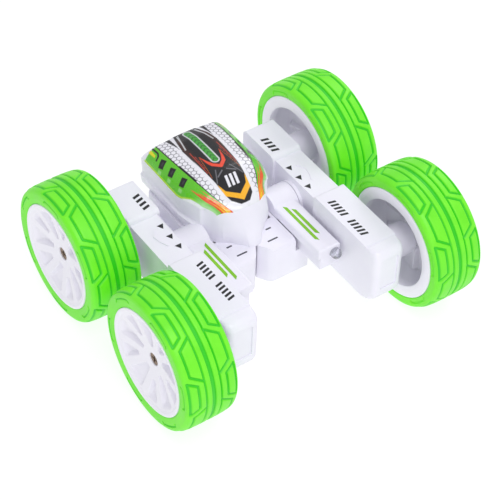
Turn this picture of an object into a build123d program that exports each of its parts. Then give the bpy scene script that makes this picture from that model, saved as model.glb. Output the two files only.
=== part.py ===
from build123d import *
from math import cos, pi, radians, sin
import os

# Radio-controlled stunt car: four wheels on two side arms that swing right round a central chassis.
# Millimetres, +Z up, +X to the car's right, the nose towards -Y, wheels standing on Z = 0.

# ---- driving dimensions -------------------------------------------------------------------------
AXLE_Z = 32.0              # height of wheel axles and of the swing pivot
HALF_WHEELBASE = 36.36     # wheel axles sit this far in front of and behind the origin
PIVOT_Y = 11.0             # the arms swing about this line
RUN_FIT = 0.08             # radial clearance of a shaft turning in plastic
GAP = 0.3                  # clearance between bodies that move past each other

TYRE_RADIUS = 32.0
TYRE_INNER_X = 51.0
TYRE_OUTER_X = 76.0
RIM_OUTER_RADIUS = 24.6
RIM_INNER_RADIUS = 26.3
RIM_WALL = 1.8
SPOKES = 6
HUB_RADIUS = 5.6
HUB_INNER_X = 58.6
HUB_OUTER_X = 73.0

AXLE_RADIUS = 2.0
AXLE_INNER_X = 32.0
AXLE_OUTER_X = 69.0

ARM_INNER_X = 30.0
ARM_SPLIT_X = 38.0
ARM_OUTER_X = 45.5
ARM_WALL = 1.4
MID_STEP = 1.5             # the middle of the arm is slimmer by this much on each side
BOSS_END_X = 58.2
BOSS_RADIUS = 7.6
CAP_BACK_Y = -44.5
CAP_FRONT_Y = -51.5
FRONT_BOX = (-44.5, -6.0, 17.0, 47.0)
MIDDLE = (-10.0, 28.0, 20.3, 43.7)
REAR_BOX = (24.5, 48.0, 18.2, 45.8)

TRAIN_MODULE = 1.01
TRAIN_TEETH = 18
TRAIN_X = 41.6
TRAIN_WIDTH = 2.2
STAGE_MODULE = 0.5
STAGE_TEETH = 34
PINION_TEETH = 8
STAGE_X = 39.1
STAGE_WIDTH = 2.1
MOTOR_ANGLE = 145.0        # direction from the reduction gear to the drive motor
MOTOR_RADIUS = 6.0

SWING_AXLE_RADIUS = 2.0
SWING_MODULE = 0.6
SWING_TEETH = 30
SWING_LARGE_TEETH = 30
SWING_SMALL_TEETH = 10

CHASSIS_FLOOR_Z = 13.0
CHASSIS_TOP_Z = 33.0
LEDGE_Z = 25.6
NOSE_Y = -12.3
TAIL_Y = 50.0
HINGE_RADIUS = 8.5
HOUSING_INNER_X = 17.1
HOUSING_OUTER_X = 28.4
HOUSING_FRONT_Y = -28.3
HOUSING_Z = (26.0, 38.0)
LED_X = 25.6
LED_Z = 33.9
LED_RADIUS = 2.5

SIDES = (("left", -1), ("right", 1))
ENDS = (("front", -HALF_WHEELBASE), ("rear", HALF_WHEELBASE))

os.makedirs("parts", exist_ok=True)


# ---- helpers ------------------------------------------------------------------------------------
def side_plane(side, near, far):
    """Plane facing +X from which extruding (far - near) fills near..far on the given side."""
    return Plane.YZ.offset(min(side * near, side * far))


def gear_outline(teeth, module, phase, centre):
    """Corner points of a spur gear with straight-flanked teeth."""
    pitch_radius = teeth * module / 2
    step = 2 * pi / teeth
    flank = (
        (pitch_radius - 1.2 * module, -0.30),
        (pitch_radius, -0.19),
        (pitch_radius + 0.8 * module, -0.08),
        (pitch_radius + 0.8 * module, 0.08),
        (pitch_radius, 0.19),
        (pitch_radius - 1.2 * module, 0.30),
    )
    points = []
    for tooth in range(teeth):
        middle = radians(phase) + tooth * step
        for radius, share in flank:
            angle = middle + share * step
            points.append((centre[0] + radius * cos(angle), centre[1] + radius * sin(angle)))
    return points


def disc(side, near, far, centre, radius, mode=Mode.ADD):
    """Add or cut a cylinder along X in the part being built."""
    with BuildSketch(side_plane(side, near, far)) as profile:
        with Locations(centre):
            Circle(radius)
    extrude(profile.sketch, amount=far - near, mode=mode)


def block(side, near, far, limits, mode=Mode.ADD, corner=0.0):
    """Add or cut a box given its X range on one side and (y0, y1, z0, z1)."""
    y0, y1, z0, z1 = limits
    with BuildSketch(side_plane(side, near, far)) as profile:
        with Locations(((y0 + y1) / 2, (z0 + z1) / 2)):
            if corner:
                RectangleRounded(y1 - y0, z1 - z0, corner)
            else:
                Rectangle(y1 - y0, z1 - z0)
    extrude(profile.sketch, amount=far - near, mode=mode)


def toothed(side, near, far, centre, teeth, module, phase):
    """Add a spur gear body in the part being built."""
    with BuildSketch(side_plane(side, near, far)) as profile:
        with BuildLine():
            Polyline(*gear_outline(teeth, module, phase, centre), close=True)
        make_face()
    extrude(profile.sketch, amount=far - near)


def open_front(limits, amount):
    """Wall inset on every side but the front, which runs through."""
    y0, y1, z0, z1 = limits
    return (y0 - 1.0, y1 - amount, z0 + amount, z1 - amount)


def inset(limits, amount):
    """The same rectangle drawn in by a wall thickness."""
    y0, y1, z0, z1 = limits
    return (y0 + amount, y1 - amount, z0 + amount, z1 - amount)


def save(part, name):
    """Label one finished piece and write it out."""
    part.label = name
    export_step(part, f"parts/{name}.step")


# ---- wheels -------------------------------------------------------------------------------------
# One of each wheel piece is modelled about the X axis on the right-hand side, then placed four times.
with BuildPart() as tyre_master:
    with BuildSketch(Plane.XZ):
        with BuildLine():
            Polyline(
                (TYRE_INNER_X + 3.2, RIM_OUTER_RADIUS),
                (TYRE_INNER_X + 3.2, RIM_INNER_RADIUS),
                (TYRE_INNER_X, RIM_INNER_RADIUS),
                (TYRE_INNER_X, 29.4),
                (TYRE_INNER_X + 0.7, 30.6),
                (TYRE_INNER_X + 2.4, 31.3),
                (TYRE_INNER_X + 8.0, TYRE_RADIUS),
                (TYRE_OUTER_X - 8.0, TYRE_RADIUS),
                (TYRE_OUTER_X - 2.4, 31.3),
                (TYRE_OUTER_X - 0.7, 30.6),
                (TYRE_OUTER_X, 29.4),
                (TYRE_OUTER_X, RIM_OUTER_RADIUS),
                close=True,
            )
        make_face()
    revolve(axis=Axis.X)
    tyre_middle_x = (TYRE_INNER_X + TYRE_OUTER_X) / 2
    for groove_offset in (-3.9, 0.0, 3.9):
        with BuildSketch(Plane.XZ):
            with Locations((tyre_middle_x + groove_offset, TYRE_RADIUS)):
                Rectangle(0.9, 1.6)
        revolve(axis=Axis.X, mode=Mode.SUBTRACT)
    for shoulder_offset, start_angle in ((-8.9, 0.0), (8.9, 9.0)):
        with BuildSketch(Plane.XY.offset(TYRE_RADIUS - 0.9)):
            with Locations((tyre_middle_x + shoulder_offset, 0)):
                Rectangle(7.2, 1.1, rotation=20)
        groove = extrude(amount=2.0, mode=Mode.PRIVATE)
        for count in range(20):
            add(groove.rotate(Axis.X, start_angle + count * 18.0), mode=Mode.SUBTRACT)

with BuildPart() as rim_master:
    with BuildSketch(Plane.XZ):
        with BuildLine():
            Polyline(
                (TYRE_INNER_X, RIM_INNER_RADIUS),
                (TYRE_INNER_X + 3.2, RIM_INNER_RADIUS),
                (TYRE_INNER_X + 3.2, RIM_OUTER_RADIUS),
                (TYRE_OUTER_X, RIM_OUTER_RADIUS),
                (TYRE_OUTER_X, RIM_OUTER_RADIUS - 1.2),
                (TYRE_OUTER_X - 7.5, RIM_OUTER_RADIUS - 3.0),
                (HUB_OUTER_X - 2.6, HUB_RADIUS),
                (HUB_OUTER_X, HUB_RADIUS),
                (HUB_OUTER_X, 3.4),
                (70.0, 3.4),
                (70.0, 1.1),
                (AXLE_OUTER_X, 1.1),
                (AXLE_OUTER_X, AXLE_RADIUS),
                (HUB_INNER_X, AXLE_RADIUS),
                (HUB_INNER_X, HUB_RADIUS),
                (HUB_OUTER_X - 5.4, HUB_RADIUS),
                (TYRE_OUTER_X - 10.3, RIM_OUTER_RADIUS - 3.2),
                (TYRE_INNER_X + 4.2, RIM_OUTER_RADIUS - RIM_WALL),
                (TYRE_INNER_X + 4.2, RIM_OUTER_RADIUS - 4.0),
                (TYRE_INNER_X, RIM_OUTER_RADIUS - 4.0),
                close=True,
            )
        make_face()
    revolve(axis=Axis.X)
    # windows between the spokes
    with BuildSketch(Plane.YZ.offset(60.0)):
        with BuildLine():
            Polyline((8.0, 0), (19.4, 6.2), (20.6, 0), (19.4, -6.2), close=True)
        make_face()
    window = extrude(amount=20.0, mode=Mode.PRIVATE)
    for count in range(SPOKES):
        add(window.rotate(Axis.X, count * 360.0 / SPOKES), mode=Mode.SUBTRACT)

with BuildPart() as axle_master:
    with BuildSketch(Plane.YZ.offset(AXLE_INNER_X)):
        Circle(AXLE_RADIUS)
    extrude(amount=AXLE_OUTER_X - AXLE_INNER_X)
    chamfer(axle_master.faces().sort_by(Axis.X)[0].edges(), 0.3)
    with BuildSketch(Plane.YZ.offset(61.0)):
        Circle(1.1)
    extrude(amount=AXLE_OUTER_X - 61.0, mode=Mode.SUBTRACT)

with BuildPart() as wheel_screw_master:
    with BuildSketch(Plane.YZ.offset(61.2)):
        Circle(1.1)
    extrude(amount=8.8)
    with BuildSketch(Plane.YZ.offset(70.0)):
        Circle(2.8)
    extrude(amount=1.8)
    with BuildSketch(Plane.YZ.offset(70.8)):
        Rectangle(0.7, 3.6)
        Rectangle(3.6, 0.7)
    extrude(amount=1.2, mode=Mode.SUBTRACT)

# The wheel gears stand tooth to gap with the idlers between them.
with BuildPart() as wheel_gear_master:
    toothed(1, TRAIN_X, TRAIN_X + TRAIN_WIDTH, (0, 0), TRAIN_TEETH, TRAIN_MODULE, 0.0)
    disc(1, TRAIN_X - 1.6, TRAIN_X, (0, 0), 3.6)
    disc(1, TRAIN_X - 2.0, TRAIN_X + 3.0, (0, 0), AXLE_RADIUS, mode=Mode.SUBTRACT)

WHEEL_PIECES = (
    ("rim", rim_master),
    ("tyre", tyre_master),
    ("axle", axle_master),
    ("screw", wheel_screw_master),
    ("gear", wheel_gear_master),
)
for end, axle_y in ENDS:
    for side_name, side in SIDES:
        for piece, master in WHEEL_PIECES:
            with BuildPart() as wheel_piece:
                if side > 0:
                    add(master.part)
                else:
                    add(mirror(master.part, about=Plane.YZ, mode=Mode.PRIVATE))
            save(Pos(0, axle_y, AXLE_Z) * wheel_piece.part, f"{end}_{side_name}_wheel_{piece}")


# ---- side arms ----------------------------------------------------------------------------------
TRAIN_PITCH = 2 * HALF_WHEELBASE / 4
REDUCTION_Y = -TRAIN_PITCH
IDLER_YS = (0.0, TRAIN_PITCH)
STAGE_REACH = (STAGE_TEETH + PINION_TEETH) * STAGE_MODULE / 2
MOTOR_CENTRE = (
    REDUCTION_Y + STAGE_REACH * cos(radians(MOTOR_ANGLE)),
    AXLE_Z + STAGE_REACH * sin(radians(MOTOR_ANGLE)),
)
MIDDLE_INNER_X = ARM_INNER_X + MID_STEP
PIVOT = (PIVOT_Y, AXLE_Z)
CASE_SCREWS = ((-41.6, 43.9), (-11.0, 20.8), (45.0, 22.6))
POST_RADIUS = 1.2

for side_name, side in SIDES:
    # inner half: closed towards the chassis, open outwards
    with BuildPart() as arm_inner:
        block(side, ARM_INNER_X, ARM_SPLIT_X, FRONT_BOX, corner=1.6)
        block(side, ARM_INNER_X, ARM_SPLIT_X, REAR_BOX, corner=2.4)
        block(side, MIDDLE_INNER_X, ARM_SPLIT_X, MIDDLE)
        block(side, ARM_INNER_X + ARM_WALL, ARM_SPLIT_X, open_front(FRONT_BOX, ARM_WALL), Mode.SUBTRACT)
        block(side, ARM_INNER_X + ARM_WALL, ARM_SPLIT_X, inset(REAR_BOX, ARM_WALL), Mode.SUBTRACT)
        block(side, MIDDLE_INNER_X + ARM_WALL, ARM_SPLIT_X, inset(MIDDLE, ARM_WALL), Mode.SUBTRACT)
        disc(side, ARM_INNER_X, 36.6, PIVOT, 5.6)
        disc(side, ARM_INNER_X, MIDDLE_INNER_X, PIVOT, HINGE_RADIUS)
        disc(side, ARM_INNER_X - 1, 37.0, PIVOT, SWING_AXLE_RADIUS, Mode.SUBTRACT)
        for axle_name, axle_y in ENDS:
            disc(side, ARM_INNER_X + ARM_WALL - 0.2, 39.6, (axle_y, AXLE_Z), 3.6)
            disc(side, AXLE_INNER_X - 0.3, 40.0, (axle_y, AXLE_Z), AXLE_RADIUS + RUN_FIT, Mode.SUBTRACT)
        disc(side, ARM_INNER_X + ARM_WALL - 0.2, 44.0, (REDUCTION_Y, AXLE_Z), POST_RADIUS)
        for idler_y in IDLER_YS:
            disc(side, MIDDLE_INNER_X + ARM_WALL - 0.2, 41.3, (idler_y, AXLE_Z), POST_RADIUS + 1.0)
            disc(side, 41.3, 44.0, (idler_y, AXLE_Z), POST_RADIUS)
        for screw_y, screw_z in CASE_SCREWS:
            disc(side, ARM_INNER_X + ARM_WALL - 0.2, ARM_SPLIT_X, (screw_y, screw_z), 2.2)
            disc(side, 33.0, ARM_SPLIT_X, (screw_y, screw_z), 0.9, Mode.SUBTRACT)
        # motor cradle: two ribs under and over the can
        motor_y, motor_z = MOTOR_CENTRE
        rib_y = (motor_y - 3.0, motor_y + 3.0)
        block(side, 31.2, 37.6, (*rib_y, motor_z - MOTOR_RADIUS - 1.4, motor_z - MOTOR_RADIUS + 0.6))
        disc(side, 31.4, 38.0, MOTOR_CENTRE, MOTOR_RADIUS, Mode.SUBTRACT)
    save(arm_inner.part, f"{side_name}_arm_inner_shell")

    # outer half: carries the long axle bosses that reach into the wheels
    with BuildPart() as arm_outer:
        block(side, ARM_SPLIT_X, ARM_OUTER_X, FRONT_BOX, corner=1.6)
        block(side, ARM_SPLIT_X, ARM_OUTER_X, REAR_BOX, corner=2.4)
        block(side, ARM_SPLIT_X, ARM_OUTER_X - 0.4, MIDDLE)
        cavity_end = ARM_OUTER_X - 1.2
        block(side, ARM_SPLIT_X, cavity_end, open_front(FRONT_BOX, ARM_WALL), Mode.SUBTRACT)
        block(side, ARM_SPLIT_X, cavity_end, inset(REAR_BOX, ARM_WALL), Mode.SUBTRACT)
        block(side, ARM_SPLIT_X, cavity_end, inset(MIDDLE, ARM_WALL), Mode.SUBTRACT)
        for axle_name, axle_y in ENDS:
            with BuildSketch(side_plane(side, cavity_end, BOSS_END_X)):
                with Locations((axle_y, AXLE_Z)):
                    Circle(BOSS_RADIUS)
            extrude(amount=BOSS_END_X - cavity_end)
            disc(side, cavity_end - 1, 60.0, (axle_y, AXLE_Z), AXLE_RADIUS + RUN_FIT, Mode.SUBTRACT)
        for screw_y, screw_z in CASE_SCREWS:
            disc(side, ARM_SPLIT_X, ARM_OUTER_X, (screw_y, screw_z), 2.2)
            disc(side, ARM_SPLIT_X, ARM_OUTER_X + 1, (screw_y, screw_z), 0.9, Mode.SUBTRACT)
            disc(side, 43.6, ARM_OUTER_X + 1, (screw_y, screw_z), 1.8, Mode.SUBTRACT)
    save(arm_outer.part, f"{side_name}_arm_outer_shell")

    # closed cap on the front end, with a recessed front panel
    with BuildPart() as end_cap:
        cap_limits = (CAP_FRONT_Y, CAP_BACK_Y, FRONT_BOX[2], FRONT_BOX[3])
        block(side, ARM_INNER_X, ARM_OUTER_X, cap_limits)
        front_edges = end_cap.faces().sort_by(Axis.Y)[0].edges()
        fillet(front_edges, 2.4)
        block(side, ARM_INNER_X + 1.6, ARM_OUTER_X - 1.6, (-49.9, CAP_BACK_Y, 18.6, 45.4), Mode.SUBTRACT)
        block(side, 33.6, 41.9, (CAP_FRONT_Y, CAP_FRONT_Y + 0.6, 21.5, 42.5), Mode.SUBTRACT)
    save(end_cap.part, f"{side_name}_arm_end_cap")

    with BuildPart() as drive_motor:
        disc(side, 31.4, 38.2, MOTOR_CENTRE, MOTOR_RADIUS)
        disc(side, 38.2, 38.7, MOTOR_CENTRE, 2.0)
        disc(side, 34.0, 38.7, MOTOR_CENTRE, 0.75 + RUN_FIT, Mode.SUBTRACT)
    save(drive_motor.part, f"{side_name}_drive_motor")

    with BuildPart() as motor_pinion:
        toothed(side, STAGE_X, STAGE_X + STAGE_WIDTH, MOTOR_CENTRE, PINION_TEETH, STAGE_MODULE,
                MOTOR_ANGLE + 180.0 + 180.0 / PINION_TEETH)
        disc(side, 34.2, STAGE_X, MOTOR_CENTRE, 0.75)
    save(motor_pinion.part, f"{side_name}_motor_pinion")

    with BuildPart() as reduction_gear:
        centre = (REDUCTION_Y, AXLE_Z)
        toothed(side, STAGE_X, STAGE_X + STAGE_WIDTH, centre, STAGE_TEETH, STAGE_MODULE, MOTOR_ANGLE)
        disc(side, STAGE_X + STAGE_WIDTH, TRAIN_X, centre, 5.0)
        toothed(side, TRAIN_X, TRAIN_X + TRAIN_WIDTH, centre, TRAIN_TEETH, TRAIN_MODULE,
                180.0 / TRAIN_TEETH)
        disc(side, STAGE_X - 1, 45.0, centre, POST_RADIUS + RUN_FIT, Mode.SUBTRACT)
    save(reduction_gear.part, f"{side_name}_reduction_gear")

    for number, idler_y in enumerate(IDLER_YS, start=1):
        with BuildPart() as idler_gear:
            phase = 0.0 if number == 1 else 180.0 / TRAIN_TEETH
            toothed(side, TRAIN_X, TRAIN_X + TRAIN_WIDTH, (idler_y, AXLE_Z), TRAIN_TEETH,
                    TRAIN_MODULE, phase)
            disc(side, TRAIN_X - 1, 45.0, (idler_y, AXLE_Z), POST_RADIUS + RUN_FIT, Mode.SUBTRACT)
        save(idler_gear.part, f"{side_name}_idler_gear_{number}")

    with BuildPart() as case_screws:
        for screw_y, screw_z in CASE_SCREWS:
            disc(side, 33.4, 43.6, (screw_y, screw_z), 0.9)
            disc(side, 43.6, 44.9, (screw_y, screw_z), 1.7)
    save(case_screws.part, f"{side_name}_arm_screws")


# ---- swing drive --------------------------------------------------------------------------------
SWING_GEAR_X = (-5.4, -2.8)
SWING_STAGE_X = (-2.4, -0.4)
SWING_REACH = (SWING_TEETH + SWING_SMALL_TEETH) * SWING_MODULE / 2
SWING_STAGE_Y = PIVOT_Y + SWING_REACH
SWING_MOTOR_Y = SWING_STAGE_Y + (SWING_LARGE_TEETH + PINION_TEETH) * SWING_MODULE / 2

with BuildPart() as swing_axle:
    with BuildSketch(Plane.YZ.offset(-36.6)):
        with Locations(PIVOT):
            Circle(SWING_AXLE_RADIUS)
    extrude(amount=73.2)
save(swing_axle.part, "swing_axle")

with BuildPart() as swing_gear:
    toothed(1, *SWING_GEAR_X, PIVOT, SWING_TEETH, SWING_MODULE, 0.0)
    disc(1, -7.4, SWING_GEAR_X[0], PIVOT, 4.4)
    disc(1, -8.0, 0.0, PIVOT, SWING_AXLE_RADIUS, Mode.SUBTRACT)
save(swing_gear.part, "swing_gear")

with BuildPart() as swing_stage:
    centre = (SWING_STAGE_Y, AXLE_Z)
    toothed(1, *SWING_GEAR_X, centre, SWING_SMALL_TEETH, SWING_MODULE, 180.0 / SWING_SMALL_TEETH)
    disc(1, SWING_GEAR_X[1], SWING_STAGE_X[0], centre, 2.2)
    toothed(1, *SWING_STAGE_X, centre, SWING_LARGE_TEETH, SWING_MODULE, 0.0)
    disc(1, -6.0, 2.0, centre, 1.0 + RUN_FIT, Mode.SUBTRACT)
save(swing_stage.part, "swing_reduction_gear")

with BuildPart() as swing_stage_pin:
    disc(1, -7.4, 0.0, (SWING_STAGE_Y, AXLE_Z), 1.0)
save(swing_stage_pin.part, "swing_gear_pin")

with BuildPart() as swing_motor:
    with BuildSketch(Plane.YZ.offset(-15.2)):
        with Locations((SWING_MOTOR_Y, AXLE_Z)):
            RectangleRounded(15.4, 12.0, 4.0)
    extrude(amount=11.9)
    disc(1, -3.3, -2.8, (SWING_MOTOR_Y, AXLE_Z), 2.6)
    disc(1, -7.0, -1.0, (SWING_MOTOR_Y, AXLE_Z), 0.8 + RUN_FIT, Mode.SUBTRACT)
save(swing_motor.part, "swing_motor")

with BuildPart() as swing_pinion:
    centre = (SWING_MOTOR_Y, AXLE_Z)
    toothed(1, *SWING_STAGE_X, centre, PINION_TEETH, SWING_MODULE, 180.0 / PINION_TEETH)
    disc(1, -6.8, SWING_STAGE_X[0], centre, 0.8)
save(swing_pinion.part, "swing_motor_pinion")


# ---- chassis ------------------------------------------------------------------------------------
WALL = 1.5
BODY_HALF = 16.9
FLOOR_HALF = 24.0
LEDGE_HALF = 21.0
BATTERY = (8.2, 21.8, 21.6, 7.0)       # x, y and z of the middle, radius
BATTERY_HALF_LENGTH = 25.0
DOOR = (1.4, 15.2, -3.6, 42.8)         # x0, x1, y0, y1 of the opening in the floor
SWITCH_X = -9.0
SWITCH_Y = 4.0
DECK_BACK_Y = 5.0
CHASSIS_SCREWS = ((-19.0, 40.0), (19.0, 40.0), (-13.0, -7.0), (19.5, -9.5))

with BuildPart() as chassis_tub:
    # lower tray
    with BuildSketch(Plane.XY.offset(CHASSIS_FLOOR_Z)):
        with BuildLine():
            Polyline(
                (-FLOOR_HALF, NOSE_Y), (-4.3, NOSE_Y), (-0.6, -6.4), (0.6, -6.4), (4.3, NOSE_Y),
                (FLOOR_HALF, NOSE_Y), (FLOOR_HALF, TAIL_Y - 6), (FLOOR_HALF - 6, TAIL_Y),
                (6 - FLOOR_HALF, TAIL_Y), (-FLOOR_HALF, TAIL_Y - 6), close=True,
            )
        make_face()
    extrude(amount=LEDGE_Z - CHASSIS_FLOOR_Z)
    # front blocks and the wider seat under the pod
    with BuildSketch(Plane.XY.offset(LEDGE_Z)):
        with BuildLine():
            Polyline(
                (-BODY_HALF, NOSE_Y), (-4.3, NOSE_Y), (-0.6, -6.4), (0.6, -6.4), (4.3, NOSE_Y),
                (BODY_HALF, NOSE_Y), (BODY_HALF, 20.5), (LEDGE_HALF, 20.5),
                (LEDGE_HALF, TAIL_Y - 2), (LEDGE_HALF - 4, TAIL_Y + 2), (4 - LEDGE_HALF, TAIL_Y + 2),
                (-LEDGE_HALF, TAIL_Y - 2), (-LEDGE_HALF, 20.5), (-BODY_HALF, 20.5), close=True,
            )
        make_face()
    extrude(amount=CHASSIS_TOP_Z - LEDGE_Z)
    # inside: roofed over at the front blocks, open to the pod behind them
    with BuildSketch(Plane.XY.offset(CHASSIS_FLOOR_Z + WALL)):
        with Locations((0, 21.8)):
            Rectangle(2 * (BODY_HALF - WALL), 53.0)
    extrude(amount=CHASSIS_TOP_Z - CHASSIS_FLOOR_Z - 2 * WALL, mode=Mode.SUBTRACT)
    with BuildSketch(Plane.XY.offset(CHASSIS_TOP_Z - 2 * WALL)):
        with Locations((0, (DECK_BACK_Y + 48.3) / 2)):
            Rectangle(2 * (BODY_HALF - WALL), 48.3 - DECK_BACK_Y)
    extrude(amount=2 * WALL, mode=Mode.SUBTRACT)
    disc(1, SWING_GEAR_X[0] - GAP, SWING_GEAR_X[1] + GAP, PIVOT, 10.2, Mode.SUBTRACT)
    # arches for the hinge bosses, clear of the swing axle
    for side_name, side in SIDES:
        disc(side, BODY_HALF - WALL - 1, 30.0, PIVOT, SWING_AXLE_RADIUS + RUN_FIT, Mode.SUBTRACT)
        disc(side, BODY_HALF, 30.0, PIVOT, HINGE_RADIUS + 0.05, Mode.SUBTRACT)
    # battery opening with a ledge for the door, switch slot, screw holes
    door_x0, door_x1, door_y0, door_y1 = DOOR
    with BuildSketch(Plane.XY.offset(CHASSIS_FLOOR_Z)):
        with Locations(((door_x0 + door_x1) / 2, (door_y0 + door_y1) / 2)):
            Rectangle(door_x1 - door_x0 - 1.6, door_y1 - door_y0 - 1.6)
    extrude(amount=WALL, mode=Mode.SUBTRACT)
    with BuildSketch(Plane.XY.offset(CHASSIS_FLOOR_Z)):
        with Locations(((door_x0 + door_x1) / 2, (door_y0 + door_y1) / 2)):
            Rectangle(door_x1 - door_x0, door_y1 - door_y0)
    extrude(amount=0.9, mode=Mode.SUBTRACT)
    with BuildSketch(Plane.XY.offset(CHASSIS_FLOOR_Z)):
        with Locations((SWITCH_X, SWITCH_Y)):
            Rectangle(4.0, 9.0)
        with Locations(*CHASSIS_SCREWS):
            Circle(1.1)
    extrude(amount=WALL, mode=Mode.SUBTRACT)
    with BuildSketch(Plane.XY.offset(CHASSIS_FLOOR_Z)):
        with Locations(*CHASSIS_SCREWS):
            Circle(1.1)
    extrude(amount=8.0, mode=Mode.SUBTRACT)
    with BuildSketch(Plane.XY.offset(CHASSIS_FLOOR_Z)):
        with Locations(*CHASSIS_SCREWS):
            Circle(2.3)
    extrude(amount=1.6, mode=Mode.SUBTRACT)
    # pillars that hold the swing motor and the gear pin
    with BuildSketch(Plane.XY.offset(CHASSIS_FLOOR_Z + WALL)):
        with Locations((-11.0, SWING_MOTOR_Y)):
            Rectangle(6.0, 9.0)
    extrude(amount=AXLE_Z - 6.0 - CHASSIS_FLOOR_Z - WALL)
    with BuildSketch(Plane.XY.offset(CHASSIS_FLOOR_Z + WALL)):
        with Locations((-7.4, SWING_STAGE_Y)):
            Rectangle(2.2, 4.4)
    extrude(amount=AXLE_Z + 2.6 - CHASSIS_FLOOR_Z - WALL)
    disc(1, -8.6, -6.2, (SWING_STAGE_Y, AXLE_Z), 1.0, Mode.SUBTRACT)
save(chassis_tub.part, "chassis_tub")

with BuildPart() as battery_door:
    with BuildSketch(Plane.XY.offset(CHASSIS_FLOOR_Z)):
        with Locations(((door_x0 + door_x1) / 2, (door_y0 + door_y1) / 2)):
            Rectangle(door_x1 - door_x0 - 0.2, door_y1 - door_y0 - 0.2)
    extrude(amount=0.9)
    with BuildSketch(Plane.XY.offset(CHASSIS_FLOOR_Z)):
        with Locations(((door_x0 + door_x1) / 2, door_y1 - 4.0)):
            Circle(1.9)
    extrude(amount=0.4, mode=Mode.SUBTRACT)
save(battery_door.part, "battery_door")

with BuildPart() as battery:
    battery_x, battery_y, battery_z, battery_radius = BATTERY
    with BuildSketch(Plane.XZ.offset(-battery_y + -BATTERY_HALF_LENGTH)):
        with Locations((battery_x, battery_z)):
            Circle(battery_radius)
    extrude(amount=2 * BATTERY_HALF_LENGTH)
save(battery.part, "battery")

with BuildPart() as control_board:
    with BuildSketch(Plane.XY.offset(45.0)):
        with Locations((0, 30.0)):
            Rectangle(26.0, 28.0)
    extrude(amount=1.0)
    with BuildSketch(Plane.XY.offset(46.0)):
        with Locations((-4.0, 32.0)):
            Rectangle(8.0, 5.0)
        with Locations((7.0, 24.0)):
            Rectangle(4.0, 3.0)
    extrude(amount=1.4)
save(control_board.part, "control_board")

with BuildPart() as power_switch:
    with BuildSketch(Plane.XY.offset(CHASSIS_FLOOR_Z + WALL)):
        with Locations((SWITCH_X, SWITCH_Y)):
            Rectangle(6.6, 11.6)
    extrude(amount=3.6)
    with BuildSketch(Plane.XY.offset(CHASSIS_FLOOR_Z + WALL)):
        with Locations((SWITCH_X, SWITCH_Y)):
            Rectangle(3.6, 8.6)
    extrude(amount=2.4, mode=Mode.SUBTRACT)
save(power_switch.part, "power_switch_body")

with BuildPart() as switch_slider:
    with BuildSketch(Plane.XY.offset(CHASSIS_FLOOR_Z - 0.4)):
        with Locations((SWITCH_X, SWITCH_Y - 2.0)):
            Rectangle(3.0, 4.0)
    extrude(amount=4.0)
save(switch_slider.part, "power_switch_slider")

with BuildPart() as chassis_screws:
    with BuildSketch(Plane.XY.offset(CHASSIS_FLOOR_Z + 1.6)):
        with Locations(*CHASSIS_SCREWS):
            Circle(1.1)
    extrude(amount=6.2)
    with BuildSketch(Plane.XY.offset(CHASSIS_FLOOR_Z + 0.3)):
        with Locations(*CHASSIS_SCREWS):
            Circle(2.2)
    extrude(amount=1.3)
save(chassis_screws.part, "chassis_screws")

for side_name, side in SIDES:
    with BuildPart() as light_housing:
        # slab that runs forward from the hinge boss, slimmer underneath
        slab = (HOUSING_FRONT_Y, PIVOT_Y - 5.0, HOUSING_Z[1] - 4.6, HOUSING_Z[1])
        tier = (HOUSING_FRONT_Y + 0.5, PIVOT_Y - 5.0, HOUSING_Z[0], HOUSING_Z[1] - 4.6)
        block(side, HOUSING_INNER_X, HOUSING_OUTER_X, slab)
        top_edges = light_housing.faces().sort_by(Axis.Z)[-1].edges()
        fillet(top_edges, 1.0)
        block(side, HOUSING_INNER_X + 1.6, HOUSING_OUTER_X, tier)
        disc(side, HOUSING_INNER_X, ARM_INNER_X - GAP, PIVOT, HINGE_RADIUS)
        disc(side, HOUSING_INNER_X, ARM_INNER_X, PIVOT, SWING_AXLE_RADIUS + RUN_FIT, Mode.SUBTRACT)
        with BuildSketch(Plane.XZ.offset(-HOUSING_FRONT_Y - 9.0)):
            with Locations((side * LED_X, LED_Z)):
                Circle(LED_RADIUS)
        extrude(amount=12.0, mode=Mode.SUBTRACT)
    save(light_housing.part, f"{side_name}_light_housing")

    with BuildPart() as headlight:
        with BuildSketch(Plane.XZ.offset(-HOUSING_FRONT_Y - 7.0)):
            with Locations((side * LED_X, LED_Z)):
                Circle(LED_RADIUS)
        extrude(amount=8.4)
        with Locations((side * LED_X, HOUSING_FRONT_Y - 1.4, LED_Z)):
            Sphere(LED_RADIUS)
    save(headlight.part, f"{side_name}_headlight")


# ---- pod ----------------------------------------------------------------------------------------
# Half sections of the dome: y, (bottom half width, shoulder, roof edge, ridge height)
POD_SECTIONS = (
    (-6.4, 1.2, (1.1, 33.8), (0.6, 34.4), 34.6),
    (1.6, 8.8, (10.8, 49.4), (7.4, 51.2), 52.0),
    (5.0, 12.8, (14.6, 48.9), (9.0, 52.1), 52.9),
    (9.0, 15.8, (16.9, 50.0), (10.5, 53.4), 54.0),
    (16.0, 18.0, (19.4, 50.4), (13.0, 56.3), 57.0),
    (24.5, 18.4, (21.3, 49.4), (14.3, 57.3), 58.2),
    (36.0, 18.5, (21.2, 49.6), (15.1, 56.8), 58.3),
    (50.0, 18.5, (21.1, 49.6), (15.2, 55.4), 56.6),
    (54.2, 18.5, (20.6, 48.6), (14.0, 51.0), 51.5),
    (55.6, 18.0, (19.4, 46.0), (12.0, 48.4), 48.8),
)
POD_WALL = 1.5
DECAL = 0.2


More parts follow.
